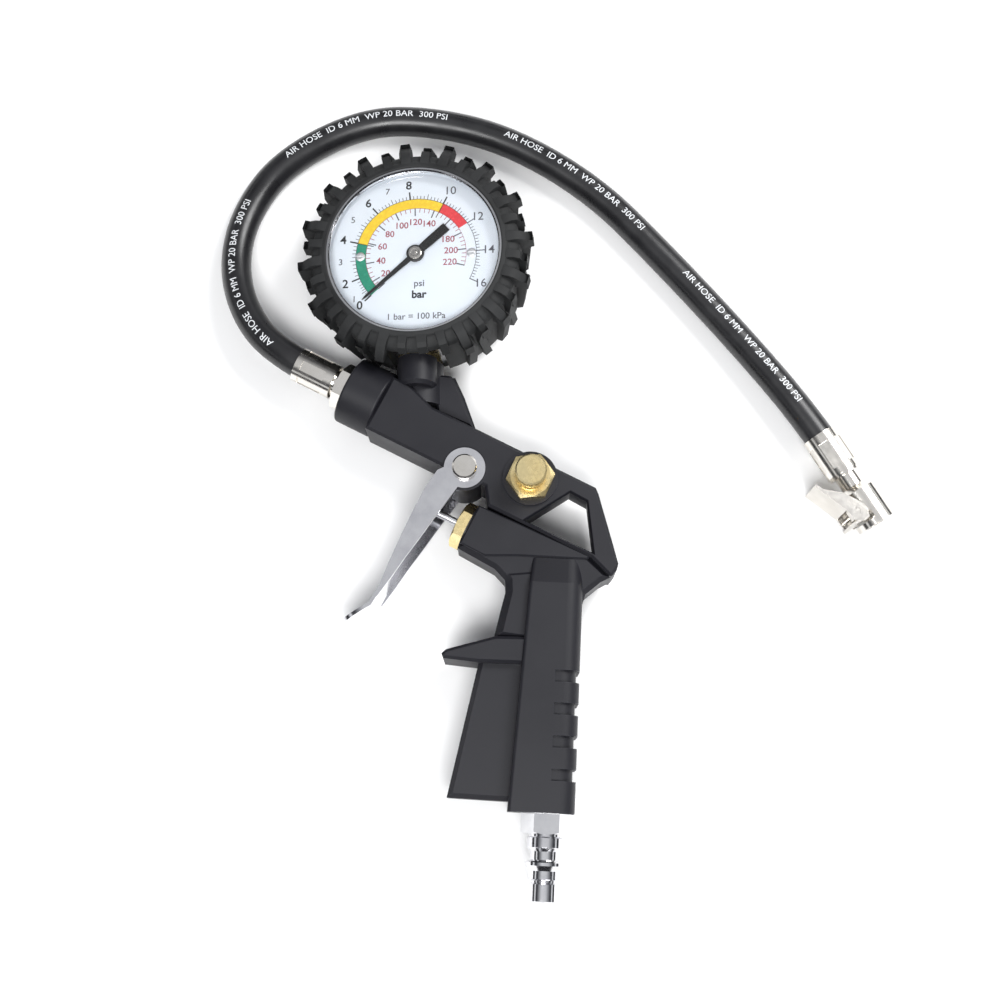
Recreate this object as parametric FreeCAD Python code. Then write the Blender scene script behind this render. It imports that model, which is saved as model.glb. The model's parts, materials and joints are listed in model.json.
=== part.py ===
import FreeCAD, Part
import math
import os
from FreeCAD import Placement, Rotation, Vector

# Tyre inflator gun lying on its side: +X along the barrel's rear, grip along -Y, +Z up.
# The surface it lies on is z = 0. All sizes are millimetres, all angles degrees.

# ---- gun layout -------------------------------------------------------------
MID = 14.5                # height of the gun's mid-plane
SLOPE = -24.3             # direction of the barrel from +X
NOSE_X = -37.1            # centre of the barrel's front face
NOSE_Y = 41.1
BODY_HALF = 10.0          # half the thickness of barrel and frame
BODY_BEVEL = 0.9
BARREL_LOW = -11.3        # lower side of the barrel, from its axis
BARREL_HIGH = 5.1         # upper side behind the gauge boss
COLLAR_RADIUS = 11.6
COLLAR_START = 0.8
COLLAR_LENGTH = 12.8
SPIGOT_RADIUS = 9.0
THREAD_RADIUS = 6.5       # quarter-inch pipe thread
BARREL_BORE = 3.0
STEP_LINE = -16.4         # lower edge of the frame's raised face, from the barrel's axis
WINDOW = [(24.8, -3.6), (39.2, 6.4), (44.8, 3.6), (47.4, -13.3)]
WINDOW_MIDDLE = (38.0, -2.6)
WINDOW_BEVEL = 1.2
WINDOW_WEB = 6.5          # thickness left round the window

# ---- valve in the frame -----------------------------------------------------
VALVE_OFFSET = -24.4      # valve axis, from the barrel's axis
NUT_START = 54.8
NUT_LENGTH = 3.8
NUT_FLATS = 14.0
HOUSING_RADIUS = 8.1
HOUSING_FACE = 59.2       # front of the flat housing round the valve
HOUSING_HALF = 8.2
FACET_HALF = 9.1          # the raised wedge on the housing
HOUSING_END = 98.0
CHAMBER_RADIUS = 5.0
CHAMBER_END = 96.0
PUSH_RADIUS = 1.25
PUSH_START = 42.5
SEAT_START = 68.0
SEAT_LENGTH = 5.0
POPPET_LENGTH = 7.0
POPPET_RADIUS = 4.2
CROSS_AT = 64.5           # passage from valve to barrel
CROSS_RADIUS = 2.0
RUN_GAP = 0.05            # radial clearance of a sliding or turning fit
FREE_GAP = 0.3            # space between parts that move past each other
CHAMFER_RUN = 1.7         # how far a nut's turned corner runs in for each mm up
SEAL_GAP = 0.1            # a seal drawn just short of its seat

# ---- trigger ----------------------------------------------------------------
PIVOT_X = 4.3
PIVOT_Y = 12.7
LOBE_RADIUS = 7.4
EAR_RADIUS = 6.8
PIN_RADIUS = 2.0
PIN_HEAD_RADIUS = 4.1
PIN_HEAD_HEIGHT = 2.5
SHEET = 1.2               # trigger sheet
EAR_INSIDE = 10.3         # inner face of each trigger ear, from the mid-plane

# ---- bleed valve ------------------------------------------------------------
BLEED_X = 26.0
BLEED_Y = 10.2
BLEED_BOSS_RADIUS = 9.0
BLEED_BOSS_HEIGHT = 1.4
BLEED_NUT_HEIGHT = 3.5
BLEED_BORE = 4.6
BUTTON_RADIUS = 5.1
BUTTON_HEIGHT = 5.2
BUTTON_TRAVEL = 1.5
STEM_RADIUS = 1.9

# ---- grip -------------------------------------------------------------------
TUBE_REAR = 44.6
TUBE_FRONT_TOP = 27.2
TUBE_FRONT_LOW = 23.3
TUBE_TOP = -24.0
TUBE_BOTTOM = -96.8
TUBE_HALF = 12.0
SHOULDER_TOP = -15.6      # where the grip has run out into the housing
SHOULDER_HALF = 8.7
TUBE_ROUND = 5.0
FIN_HALF = 7.0
GUARD_HALF = 9.0
NOTCH_FIRST = -52.0
NOTCH_PITCH = 10.35
NOTCH_HEIGHT = 3.8
NOTCH_DEPTH = 1.1
NOTCH_FROM = 36.6
INLET_X = 35.9
INLET_BORE = 4.0
INLET_THREAD_DEPTH = 10.0

# ---- inlet plug -------------------------------------------------------------
PLUG_FLATS = 14.0
PLUG_HEX = 6.4
PLUG_NOSE_RADIUS = 4.75
PLUG_LENGTH = 27.7
PLUG_BORE = 2.75

# ---- gauge ------------------------------------------------------------------
GAUGE_X = -14.4
GAUGE_Y = 84.8
GAUGE_Z = 13.0
GAUGE_LEAN = 2.7          # about Z
GAUGE_TURN = -6.0         # about the stem
GAUGE_NOD = -2.5          # dial leaning back, about X
CASE_RADIUS = 31.5
CASE_WALL = 0.8
CASE_BACK = -8.2
CASE_FRONT = 17.0
BEZEL_INSIDE = CASE_RADIUS - 2.9
LENS_RADIUS = CASE_RADIUS - 0.5
LENS_THICKNESS = 1.4
DIAL_RADIUS = CASE_RADIUS - 2.1
DIAL_FACE = 14.4
DIAL_THICKNESS = 0.6
POINTER_CLEAR = 1.0       # from the dial's face up to the pointer
BOOT_LIP = CASE_RADIUS - 1.9
BOOT_BASE = CASE_RADIUS + 4.3
BOOT_TALL = BOOT_BASE + 4.4
BOOT_SHORT = BOOT_BASE + 2.6
BOOT_LUGS = 32
LUG_HALF = 1.35
NOTCH_HALF = 8.6          # opening in the boot for the stem
BOOT_BACK = CASE_BACK - 0.8
BOOT_FRONT = CASE_FRONT + 3.4
STEM_THREAD = 4.9
STEM_HEX_FLATS = 14.0
STEM_BOSS_RADIUS = 8.0
STEM_BOSS_TOP = -34.7     # in the gauge's own frame
STEM_BOSS_LENGTH = 15.0
BOSS_PAD_RADIUS = 6.6
BOSS_PAD_FRONT = 13.0      # how far the boss stands before the gauge's mid-plane
BOSS_PAD_LENGTH = 8.8
BOSS_PAD_ROUND = 1.2
PIVOT_TO_SECTOR = 13.5
PINION_RADIUS = 1.35
ARBOR_RADIUS = 0.7

# ---- hose and chuck ---------------------------------------------------------
HOSE_RADIUS = 5.2
HOSE_BORE = 2.9
FERRULE_WALL = 0.8
GUN_FERRULE_END = 18.9    # from the nose, along the fitting
CHUCK_X = 123.9           # where the hose enters the chuck's ferrule
CHUCK_Y = 33.8
CHUCK_Z = 8.6
CHUCK_SLOPE = -56.2
CHUCK_FERRULE = 15.2
CHUCK_HEAD_START = 21.0
CHUCK_END = 35.7
CHUCK_HEAD_RADIUS = 7.0
CHUCK_BORE = 4.0
CHUCK_SEAL_FACE = 27.5
CHUCK_SEAL_RADIUS = 4.5
CHUCK_SEAL_LENGTH = 3.0
LEVER_PIVOT_ALONG = 29.0
LEVER_PIVOT_SIDE = -5.8
LEVER_PIN_RADIUS = 0.9
LEVER_SPRING_LENGTH = 1.7
LEVER_SPRING_AT = 23.2

# The hose's route: (x, y, z) of each corner of its centre line, from ferrule to ferrule.
HOSE_ROUTE = [
    (-43.48, 43.98, 14.5), (-62.1, 52.4, 14.5), (-75.4, 67.9, 11.6), (-81.2, 87.6, 8.1),
    (-78.2, 108.0, 6.0), (-66.0, 127.8, 5.5), (-38.8, 144.2, 5.5), (-12.9, 145.2, 5.5),
    (14.5, 138.8, 5.5), (44.6, 121.5, 5.5), (69.0, 97.5, 5.5), (96.0, 68.6, 6.3),
    (119.7, 40.1, 8.6), (130.0, 24.7, 8.6),
]

# trigger outline, from its pivot
LEVER_OUTER = [(-4.6, 11.5), (-8.3, 5.3), (-11.7, -2.2), (-15.4, -11.4), (-18.6, -19.8),
               (-21.2, -27.4), (-24.3, -33.2)]
LEVER_INNER = [(-21.6, -31.0), (-17.3, -24.4), (-13.5, -18.1), (-9.2, -11.6), (-5.4, -5.6),
               (-0.6, 1.6), (2.4, 6.2)]
LEVER_TIP = (-34.6, -39.6)
TONGUE_ROUND_AT = 0.6
# bleed valve and movement
BLEED_FACE = MID + BODY_HALF + BLEED_BOSS_HEIGHT
BLEED_SHANK = 8.0
FLANGE_TOP = BLEED_FACE - BLEED_SHANK - 1.2
DIAL_SCREW_AT = 19.0
FRONT_PLATE = 11.2
PLATE_THICKNESS = 1.0
SECTOR_ANGLE = 200.0
POINTER_ZERO = 222.0      # direction of the arm at zero pressure
# hose fitting and chuck lever
FITTING_HEX = 4.0
FITTING_NECK = 1.6
CHEEK_INSIDE = 7.35
CHEEK = 0.9

Z = Vector(0, 0, 1)
ALONG = Vector(math.cos(math.radians(SLOPE)), math.sin(math.radians(SLOPE)), 0)
ACROSS = Vector(-ALONG.y, ALONG.x, 0)
CHUCK_ALONG = Vector(math.cos(math.radians(CHUCK_SLOPE)), math.sin(math.radians(CHUCK_SLOPE)), 0)
CHUCK_ACROSS = Vector(-CHUCK_ALONG.y, CHUCK_ALONG.x, 0)
GAUGE_PLACE = Placement(
    Vector(GAUGE_X, GAUGE_Y, GAUGE_Z),
    Rotation(Vector(0, 0, 1), GAUGE_LEAN) * Rotation(Vector(0, 1, 0), GAUGE_TURN)
    * Rotation(Vector(1, 0, 0), GAUGE_NOD))


def barrel(along, across, up=0.0):
    """Point given from the barrel's front face: along its axis, across it, above the mid-plane."""
    return Vector(NOSE_X, NOSE_Y, MID + up) + ALONG * along + ACROSS * across


def chuck(along, across, up=0.0):
    """Point given from where the hose enters the chuck's ferrule."""
    return Vector(CHUCK_X, CHUCK_Y, CHUCK_Z + up) + CHUCK_ALONG * along + CHUCK_ACROSS * across


def rod(radius, start, direction, length):
    return Part.makeCylinder(radius, length, start, direction)


def tube(outer, inner, start, direction, length):
    return rod(outer, start, direction, length).cut(rod(inner, start, direction, length))


def taper(radius_a, radius_b, start, direction, length):
    return Part.makeCone(radius_a, radius_b, length, start, direction)


def block(x0, x1, y0, y1, z0, z1):
    return Part.makeBox(x1 - x0, y1 - y0, z1 - z0, Vector(x0, y0, z0))


def union(shapes):
    joined = shapes[0]
    for shape in shapes[1:]:
        joined = joined.fuse(shape)
    return joined.removeSplitter()


def prism(points, bottom, top):
    """Upright prism over a plan polygon given as (x, y) pairs or vectors."""
    flat = [Vector(p[0], p[1], bottom) for p in points]
    face = Part.Face(Part.makePolygon(flat + flat[:1]))
    return face.extrude(Vector(0, 0, top - bottom))


def plate(points, half, bevel):
    """Prism centred on the mid-plane with its two outlines bevelled."""
    solid = prism(points, MID - half, MID + half)
    if bevel <= 0:
        return solid
    rims = [e for e in solid.Edges if abs(abs(e.CenterOfMass.z - MID) - half) < 1e-6]
    return solid.makeChamfer(bevel, rims)


def hexagon(flats, start, direction, length, turn=0.0, chamfer=0.6):
    """Hexagonal bar with its corners turned off at the far end."""
    corner = flats / math.sqrt(3)
    points = [Vector(corner * math.cos(math.radians(60 * k + turn)),
                     corner * math.sin(math.radians(60 * k + turn)), 0) for k in range(6)]
    bar = Part.Face(Part.makePolygon(points + points[:1])).extrude(Vector(0, 0, length))
    if chamfer > 0:
        crown = Part.makeCone(corner - chamfer + CHAMFER_RUN * length, corner - chamfer, length)
        bar = bar.common(crown)
    bar.Placement = Placement(start, Rotation(Vector(0, 0, 1), direction))
    return bar


def lathe(profile, start, direction):
    """Solid of revolution from (radius, height) pairs."""
    points = [Vector(r, 0, h) for r, h in profile]
    face = Part.Face(Part.makePolygon(points + points[:1]))
    solid = face.revolve(Vector(0, 0, 0), Vector(0, 0, 1), 360)
    solid.Placement = Placement(start, Rotation(Vector(0, 0, 1), direction))
    return solid


def spring(coil_radius, wire_radius, turns, start, direction, length):
    """Compression spring drawn as a helix of round wire."""
    pitch = (length - 2 * wire_radius) / turns
    helix = Part.makeHelix(pitch, pitch * turns, coil_radius)
    circle = Part.Wire(Part.makeCircle(wire_radius, Vector(coil_radius, 0, 0), Vector(0, 1, 0)))
    solid = Part.Wire(helix.Edges).makePipeShell([circle], True, True)
    solid.translate(Vector(0, 0, wire_radius))
    solid.Placement = Placement(start, Rotation(Vector(0, 0, 1), direction)).multiply(solid.Placement)
    return solid


def in_gauge(solid):
    """Move a piece drawn in the gauge's own frame (dial up, stem along -Y) to its place."""
    moved = solid.copy()
    moved.Placement = GAUGE_PLACE.multiply(moved.Placement)
    return moved


# ---- gun body ---------------------------------------------------------------
def grip_section(front, y, inset=0.0, half=TUBE_HALF):
    """Rounded-rectangle cross-section of the grip's tube at one height."""
    x0, x1 = front + inset, TUBE_REAR - inset
    z0, z1 = MID - half + inset, MID + half - inset
    r = TUBE_ROUND
    k = r * (1 - math.sqrt(0.5))
    f = 1.2
    g = f * (1 - math.sqrt(0.5))
    edges = [
        Part.LineSegment(Vector(x0 + f, y, z0), Vector(x1 - r, y, z0)),
        Part.Arc(Vector(x1 - r, y, z0), Vector(x1 - k, y, z0 + k), Vector(x1, y, z0 + r)),
        Part.LineSegment(Vector(x1, y, z0 + r), Vector(x1, y, z1 - r)),
        Part.Arc(Vector(x1, y, z1 - r), Vector(x1 - k, y, z1 - k), Vector(x1 - r, y, z1)),
        Part.LineSegment(Vector(x1 - r, y, z1), Vector(x0 + f, y, z1)),
        Part.Arc(Vector(x0 + f, y, z1), Vector(x0 + g, y, z1 - g), Vector(x0, y, z1 - f)),
        Part.LineSegment(Vector(x0, y, z1 - f), Vector(x0, y, z0 + f)),
        Part.Arc(Vector(x0, y, z0 + f), Vector(x0 + g, y, z0 + g), Vector(x0 + f, y, z0)),
    ]
    return Part.Wire([e.toShape() for e in edges])


def grip_tube(inset=0.0):
    return Part.makeLoft([grip_section(TUBE_FRONT_TOP, TUBE_TOP, inset),
                          grip_section(TUBE_FRONT_LOW, TUBE_BOTTOM, inset)], True, True)


def grip():
    tube_body = grip_tube()
    band = block(NOTCH_FROM, TUBE_REAR + 5, -NOTCH_HEIGHT, 0, MID - 20, MID + 20)
    core = grip_tube(NOTCH_DEPTH)
    for k in range(4):
        cutter = band.copy()
        cutter.translate(Vector(0, NOTCH_FIRST - k * NOTCH_PITCH, 0))
        tube_body = tube_body.cut(cutter.cut(core))
    fin = plate([(TUBE_FRONT_TOP + 6, -30), (18.9, -30), (16.5, -42), (12.6, -47), (4.0, -93.4),
                 (TUBE_FRONT_LOW + 6, -93.8)], FIN_HALF, 1.6)
    neck = plate([(TUBE_FRONT_TOP + 6, -18), (17.5, -20.0), (19.3, -23.5), (19.6, -27), (16.5, -42.5),
                  (TUBE_FRONT_TOP + 6, -44)], GUARD_HALF, 2.4)
    guard = plate([(TUBE_FRONT_TOP + 4, -41.6), (17.0, -42.0), (1.4, -46.9), (0.0, -48.3), (0.6, -49.8),
                   (11.7, -50.6), (TUBE_FRONT_TOP + 4, -50.4)], GUARD_HALF + 1.6, 1.0)
    shoulder_top = grip_section(TUBE_FRONT_TOP + 0.8, SHOULDER_TOP, 0.0, SHOULDER_HALF)
    shoulder = Part.makeLoft([grip_section(TUBE_FRONT_TOP, TUBE_TOP), shoulder_top], True, True)
    return union([tube_body, shoulder, fin, neck, guard])


def frame_plate():
    """Barrel and the triangular frame behind it, with the window through."""
    outline = [barrel(13.6, BARREL_LOW), barrel(46, BARREL_LOW), barrel(58, -11), barrel(61.7, STEP_LINE),
               barrel(99.5, STEP_LINE), (53.0, -20.6), (53.9, -20.6),
               (55.4, -18.4), (55.8, -16.4), barrel(92.4, 3.6), barrel(90.6, BARREL_HIGH),
               barrel(30, BARREL_HIGH), barrel(20, 8.5), barrel(13.6, 8.5)]
    solid = plate(outline, BODY_HALF, BODY_BEVEL)
    return solid


def grown(points, centre, share):
    """Plan polygon scaled about a point."""
    return [(centre[0] + (x - centre[0]) * share, centre[1] + (y - centre[1]) * share) for x, y in points]


def window_cutters():
    """The window, its bevelled rim at the front and the pocket that cores the frame out behind it."""
    face = MID + BODY_HALF
    low = Part.makePolygon([Vector(x, y, face - WINDOW_BEVEL) for x, y in WINDOW + WINDOW[:1]])
    rim = grown(WINDOW, WINDOW_MIDDLE, 1.09)
    high = Part.makePolygon([Vector(x, y, face + 0.2) for x, y in rim + rim[:1]])
    pocket = prism(grown(WINDOW, WINDOW_MIDDLE, 1.22), MID - 20, face - WINDOW_WEB)
    return [prism(WINDOW, MID - 20, MID + 20), Part.makeLoft([low, high], True, True), pocket]


def valve_housing():
    start = NUT_START + NUT_LENGTH
    return union([
        rod(HOUSING_RADIUS, barrel(start, VALVE_OFFSET), ALONG, HOUSING_END - start),
        taper(HOUSING_RADIUS, HOUSING_RADIUS - 2.5, barrel(HOUSING_END, VALVE_OFFSET), ALONG, 2.5),
        plate([barrel(HOUSING_FACE, -17.2), barrel(HOUSING_FACE, -33.0), (15.6, -19.6), (19.0, -23.0), (30, -26),
               (44.6, -30.2), (45.6, -26.6), (50.4, -22.4), (53.6, -20.6), (46, -14)], HOUSING_HALF, 1.6),
        plate([barrel(HOUSING_FACE, -17.4), barrel(99.0, STEP_LINE + 0.3), (45.8, -15.4), (22.6, -15.3),
               (12.3, -15.8), barrel(HOUSING_FACE, -31.4)], FACET_HALF, 0.5),
    ])


def gauge_boss():
    """Boss for the gauge stem, drawn in the gauge's frame, with its gusset on the mid-plane."""
    low = STEM_BOSS_TOP - STEM_BOSS_LENGTH
    boss = rod(STEM_BOSS_RADIUS, Vector(0, low, 0), Vector(0, 1, 0), STEM_BOSS_LENGTH)
    pad_low = STEM_BOSS_TOP - BOSS_PAD_LENGTH
    pad_axis = BOSS_PAD_FRONT - BOSS_PAD_RADIUS
    pad = rod(BOSS_PAD_RADIUS, Vector(0, pad_low, pad_axis), Vector(0, 1, 0), BOSS_PAD_LENGTH)
    foot = Vector(0, pad_low - BOSS_PAD_ROUND, pad_axis)
    pad = pad.fuse(taper(BOSS_PAD_RADIUS - BOSS_PAD_ROUND, BOSS_PAD_RADIUS, foot, Vector(0, 1, 0), BOSS_PAD_ROUND))
    gusset = plate([(-9, 46.4), (-2.0, 46.0), (1.2, 40.2), (6.6, 28.0), (-6, 33)], 4.6, 0.8)
    rib = plate([(-9, 46.4), (-0.8, 46.0), (2.8, 39.0), (8.0, 26.0), (-6, 33)], 1.8, 0)
    return union([in_gauge(boss.fuse(pad)), gusset, rib])


def air_passages():
    """Everything bored out of the body, as one cutting tool."""
    valve_mouth = NUT_START + NUT_LENGTH
    stem_dir = GAUGE_PLACE.Rotation.multVec(Vector(0, 1, 0))
    stem_top = GAUGE_PLACE.multVec(Vector(0, STEM_BOSS_TOP, 0))
    return [
        rod(THREAD_RADIUS, barrel(-1, 0), ALONG, 11.5),
        rod(BARREL_BORE, barrel(0, 0), ALONG, 75),
        rod(CHAMBER_RADIUS, barrel(valve_mouth, VALVE_OFFSET), ALONG, CHAMBER_END - valve_mouth),
        rod(CROSS_RADIUS, barrel(CROSS_AT, VALVE_OFFSET), ACROSS, -VALVE_OFFSET),
        rod(INLET_BORE, Vector(INLET_X, TUBE_BOTTOM, MID), Vector(0, 1, 0), -TUBE_BOTTOM - 18),
        rod(THREAD_RADIUS, Vector(INLET_X, TUBE_BOTTOM, MID), Vector(0, 1, 0), INLET_THREAD_DEPTH),
        rod(STEM_THREAD, stem_top - stem_dir * 12, stem_dir, 13),
        rod(BARREL_BORE - 1, stem_top - stem_dir * 22, stem_dir, 12),
        rod(BLEED_BORE, Vector(BLEED_X, BLEED_Y, MID - 6), Z, BODY_HALF + BLEED_BOSS_HEIGHT + 7),
        rod(PIN_RADIUS, Vector(PIVOT_X, PIVOT_Y, 0), Z, 2 * MID),
    ]


def gun_body():
    spigot = rod(SPIGOT_RADIUS, barrel(COLLAR_START, 0), ALONG, COLLAR_START + COLLAR_LENGTH)
    lobe = rod(LOBE_RADIUS, Vector(PIVOT_X, PIVOT_Y, MID - BODY_HALF), Z, 2 * BODY_HALF)
    bleed = rod(BLEED_BOSS_RADIUS, Vector(BLEED_X, BLEED_Y, MID), Z, BODY_HALF + BLEED_BOSS_HEIGHT)
    body = union([frame_plate(), spigot, lobe, bleed, valve_housing(), gauge_boss(), grip()])
    body = body.cut(tube(COLLAR_RADIUS, SPIGOT_RADIUS, barrel(COLLAR_START, 0), ALONG, COLLAR_LENGTH))
    for tool in window_cutters() + air_passages():
        body = body.cut(tool)
    return body


def nose_collar():
    ring = tube(COLLAR_RADIUS, SPIGOT_RADIUS, barrel(COLLAR_START, 0), ALONG, COLLAR_LENGTH)
    rims = [e for e in ring.Edges if isinstance(e.Curve, Part.Circle)
            and abs(e.Curve.Radius - COLLAR_RADIUS) < 1e-6]
    return ring.makeFillet(0.8, rims)


# ---- valve ------------------------------------------------------------------
def on_valve(along):
    return barrel(along, VALVE_OFFSET)


def gland_nut():
    """Hexagon nut with a threaded shank that closes the valve chamber."""
    head = hexagon(NUT_FLATS, on_valve(NUT_START + NUT_LENGTH), ALONG * -1, NUT_LENGTH, turn=0, chamfer=1.2)
    shank = rod(CHAMBER_RADIUS, on_valve(NUT_START + NUT_LENGTH - 0.5), ALONG, 4.0)
    return union([head, shank]).cut(
        rod(PUSH_RADIUS + RUN_GAP, on_valve(NUT_START - 1), ALONG, 12))


def gland_seal():
    start = NUT_START + NUT_LENGTH + 3.5
    return tube(CHAMBER_RADIUS - 1.0, PUSH_RADIUS + RUN_GAP, on_valve(start), ALONG, 1.4)


def push_pin():
    return rod(PUSH_RADIUS, on_valve(PUSH_START), ALONG, SEAT_START + SEAT_LENGTH + SEAL_GAP - PUSH_START)


def valve_seat():
    ring = tube(CHAMBER_RADIUS, 2.4, on_valve(SEAT_START), ALONG, SEAT_LENGTH)
    groove = tube(CHAMBER_RADIUS + 1, CHAMBER_RADIUS - 0.8, on_valve(SEAT_START + 1.8), ALONG, 1.4)
    return ring.cut(groove)


def valve_poppet():
    """Poppet with a spigot behind it that centres the spring."""
    start = SEAT_START + SEAT_LENGTH + SEAL_GAP
    head = taper(POPPET_RADIUS - 0.8, POPPET_RADIUS, on_valve(start), ALONG, 0.8)
    barrel_part = rod(POPPET_RADIUS, on_valve(start + 0.8), ALONG, 2.4)
    spigot = rod(1.9, on_valve(start + 3.0), ALONG, POPPET_LENGTH - 3.0)
    return union([head, barrel_part, spigot])


def valve_spring():
    start = SEAT_START + SEAT_LENGTH + SEAL_GAP + 3.2
    return spring(3.0, 0.4, 5, on_valve(start), ALONG, CHAMBER_END - start)


# ---- trigger ----------------------------------------------------------------


def offset_line(points, distance):
    """Copy of an open plan line shifted sideways by the same distance everywhere."""
    moved = []
    for k, point in enumerate(points):
        before = points[max(0, k - 1)]
        after = points[min(len(points) - 1, k + 1)]
        run = Vector(after[0] - before[0], after[1] - before[1], 0).normalize()
        moved.append((point[0] - run.y * distance, point[1] + run.x * distance))
    return moved


def trigger_lever():
    """Pressed channel: a web, two flanges with round ears, and a thumb tongue at the tip."""
    outside = EAR_INSIDE + SHEET
    ear_hole = rod(PIN_RADIUS + RUN_GAP, Vector(PIVOT_X, PIVOT_Y, -5), Z, 50)
    pieces = []
    for base in (MID - outside, MID + EAR_INSIDE):
        cheek = prism(LEVER_OUTER + LEVER_INNER + [(PIVOT_X + 1, PIVOT_Y), (PIVOT_X - 3, PIVOT_Y + 2)],
                      base, base + SHEET)
        ear = rod(EAR_RADIUS, Vector(PIVOT_X, PIVOT_Y, base), Z, SHEET)
        pieces += [cheek, ear]
    strip = LEVER_OUTER + [LEVER_TIP]
    web = prism(strip + offset_line(strip, SHEET)[::-1], MID - outside, MID + outside)
    root = Vector(LEVER_OUTER[-1][0], LEVER_OUTER[-1][1], MID)
    run = Vector(LEVER_TIP[0], LEVER_TIP[1], MID) - root
    side = Vector(-run.y, run.x, 0).normalize()
    corners = [root, root + run * 1.5, root + run * 1.5 + side * 8, root + side * 8]
    beyond = prism([c - side * 4 for c in corners], MID - 20, MID + 20)
    rounding = rod(outside, root + run.normalize() * TONGUE_ROUND_AT - side * 5, side, 12)
    pieces += [web.cut(beyond.cut(rounding))]
    return union(pieces).cut(ear_hole)


def trigger_pin():
    """Rivet with a domed near head; its plain end takes the clip."""
    top = MID + EAR_INSIDE + SHEET + FREE_GAP / 2
    shaft = rod(PIN_RADIUS, Vector(PIVOT_X, PIVOT_Y, 0.2), Z, top - 0.2)
    head = lathe([(0, 0), (PIN_HEAD_RADIUS, 0), (PIN_HEAD_RADIUS, PIN_HEAD_HEIGHT - 0.5),
                  (PIN_HEAD_RADIUS - 0.5, PIN_HEAD_HEIGHT), (0, PIN_HEAD_HEIGHT)],
                 Vector(PIVOT_X, PIVOT_Y, top), Z)
    return union([shaft, head])


def pin_clip():
    """Washer pressed on the pin's far end."""
    low = 0.0
    top = MID - EAR_INSIDE - SHEET - FREE_GAP / 2
    return tube(PIN_HEAD_RADIUS, PIN_RADIUS, Vector(PIVOT_X, PIVOT_Y, low), Z, top - low)


# ---- bleed valve ------------------------------------------------------------
def bleed_at(z):
    return Vector(BLEED_X, BLEED_Y, z)


def bleed_nut():
    head = hexagon(NUT_FLATS, bleed_at(BLEED_FACE), Z, BLEED_NUT_HEIGHT, turn=8, chamfer=1.5)
    neck = rod(4.8, bleed_at(BLEED_FACE + BLEED_NUT_HEIGHT - 0.2), Z, 0.9)
    shank = rod(BLEED_BORE, bleed_at(BLEED_FACE - BLEED_SHANK), Z, BLEED_SHANK + 0.5)
    return union([head, neck, shank]).cut(
        rod(STEM_RADIUS + RUN_GAP, bleed_at(BLEED_FACE - 20), Z, 40))


def bleed_button():
    """Grooved cap, stem and the flange that pulls the seal against the nut."""
    nut_top = BLEED_FACE + BLEED_NUT_HEIGHT + 0.7
    skirt = nut_top + BUTTON_TRAVEL + FREE_GAP
    cap = lathe([(0, 0), (4.3, 0), (4.3, 0.7), (3.7, 1.0), (3.7, 1.4), (BUTTON_RADIUS - 0.4, 1.6),
                 (BUTTON_RADIUS, 2.0), (BUTTON_RADIUS, BUTTON_HEIGHT + 1.1),
                 (BUTTON_RADIUS - 0.5, BUTTON_HEIGHT + 1.5), (0, BUTTON_HEIGHT + 1.5)],
                bleed_at(skirt), Z)
    stem = rod(STEM_RADIUS, bleed_at(FLANGE_TOP - 0.5), Z, skirt - FLANGE_TOP + 1.0)
    flange = rod(3.6, bleed_at(FLANGE_TOP - 1.2), Z, 1.2)
    return union([cap, stem, flange])


def bleed_seal():
    """Ring that rides on the stem between the flange and the nut."""
    height = BLEED_FACE - BLEED_SHANK - FLANGE_TOP - SEAL_GAP
    return tube(3.2, STEM_RADIUS, bleed_at(FLANGE_TOP), Z, height)


def bleed_spring():
    low = MID - 6
    return spring(2.9, 0.35, 4, bleed_at(low), Z, FLANGE_TOP - 1.2 - low)


# ---- inlet ------------------------------------------------------------------
def inlet_plug():
    """Quick-coupling plug: hexagon, neck, locking collar and nose."""
    down = Vector(0, -1, 0)
    seat = Vector(INLET_X, TUBE_BOTTOM, MID)
    head = hexagon(PLUG_FLATS, seat, down, PLUG_HEX, turn=0, chamfer=0.9)
    body = lathe([(0, PLUG_HEX - 1), (5.2, PLUG_HEX - 1), (5.2, 7.2), (5.9, 7.6), (5.9, 10.6),
                  (4.7, 11.8), (4.7, 14.4), (5.9, 14.8), (6.2, 15.2), (6.2, 16.2), (4.9, 17.8),
                  (4.9, 20.4), (4.3, 20.8), (4.3, 21.4), (PLUG_NOSE_RADIUS, 21.8),
                  (PLUG_NOSE_RADIUS, PLUG_LENGTH - 0.6), (PLUG_NOSE_RADIUS - 0.6, PLUG_LENGTH),
                  (0, PLUG_LENGTH)], seat, down)
    shank = rod(THREAD_RADIUS, seat, Vector(0, 1, 0), INLET_THREAD_DEPTH - 1.5)
    return union([head, body, shank]).cut(rod(PLUG_BORE, seat + down * (PLUG_LENGTH + 1), Vector(0, 1, 0), 60))


def inlet_filter():
    """Sintered cup above the plug's shank."""
    base = Vector(INLET_X, TUBE_BOTTOM + INLET_THREAD_DEPTH, MID)
    up = Vector(0, 1, 0)
    return rod(INLET_BORE, base, up, 9.0).cut(rod(INLET_BORE - 1.2, base, up, 7.5))


def inlet_seal():
    base = Vector(INLET_X, TUBE_BOTTOM + INLET_THREAD_DEPTH - 1.5, MID)
    return tube(THREAD_RADIUS, INLET_BORE, base, Vector(0, 1, 0), 1.5)


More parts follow.
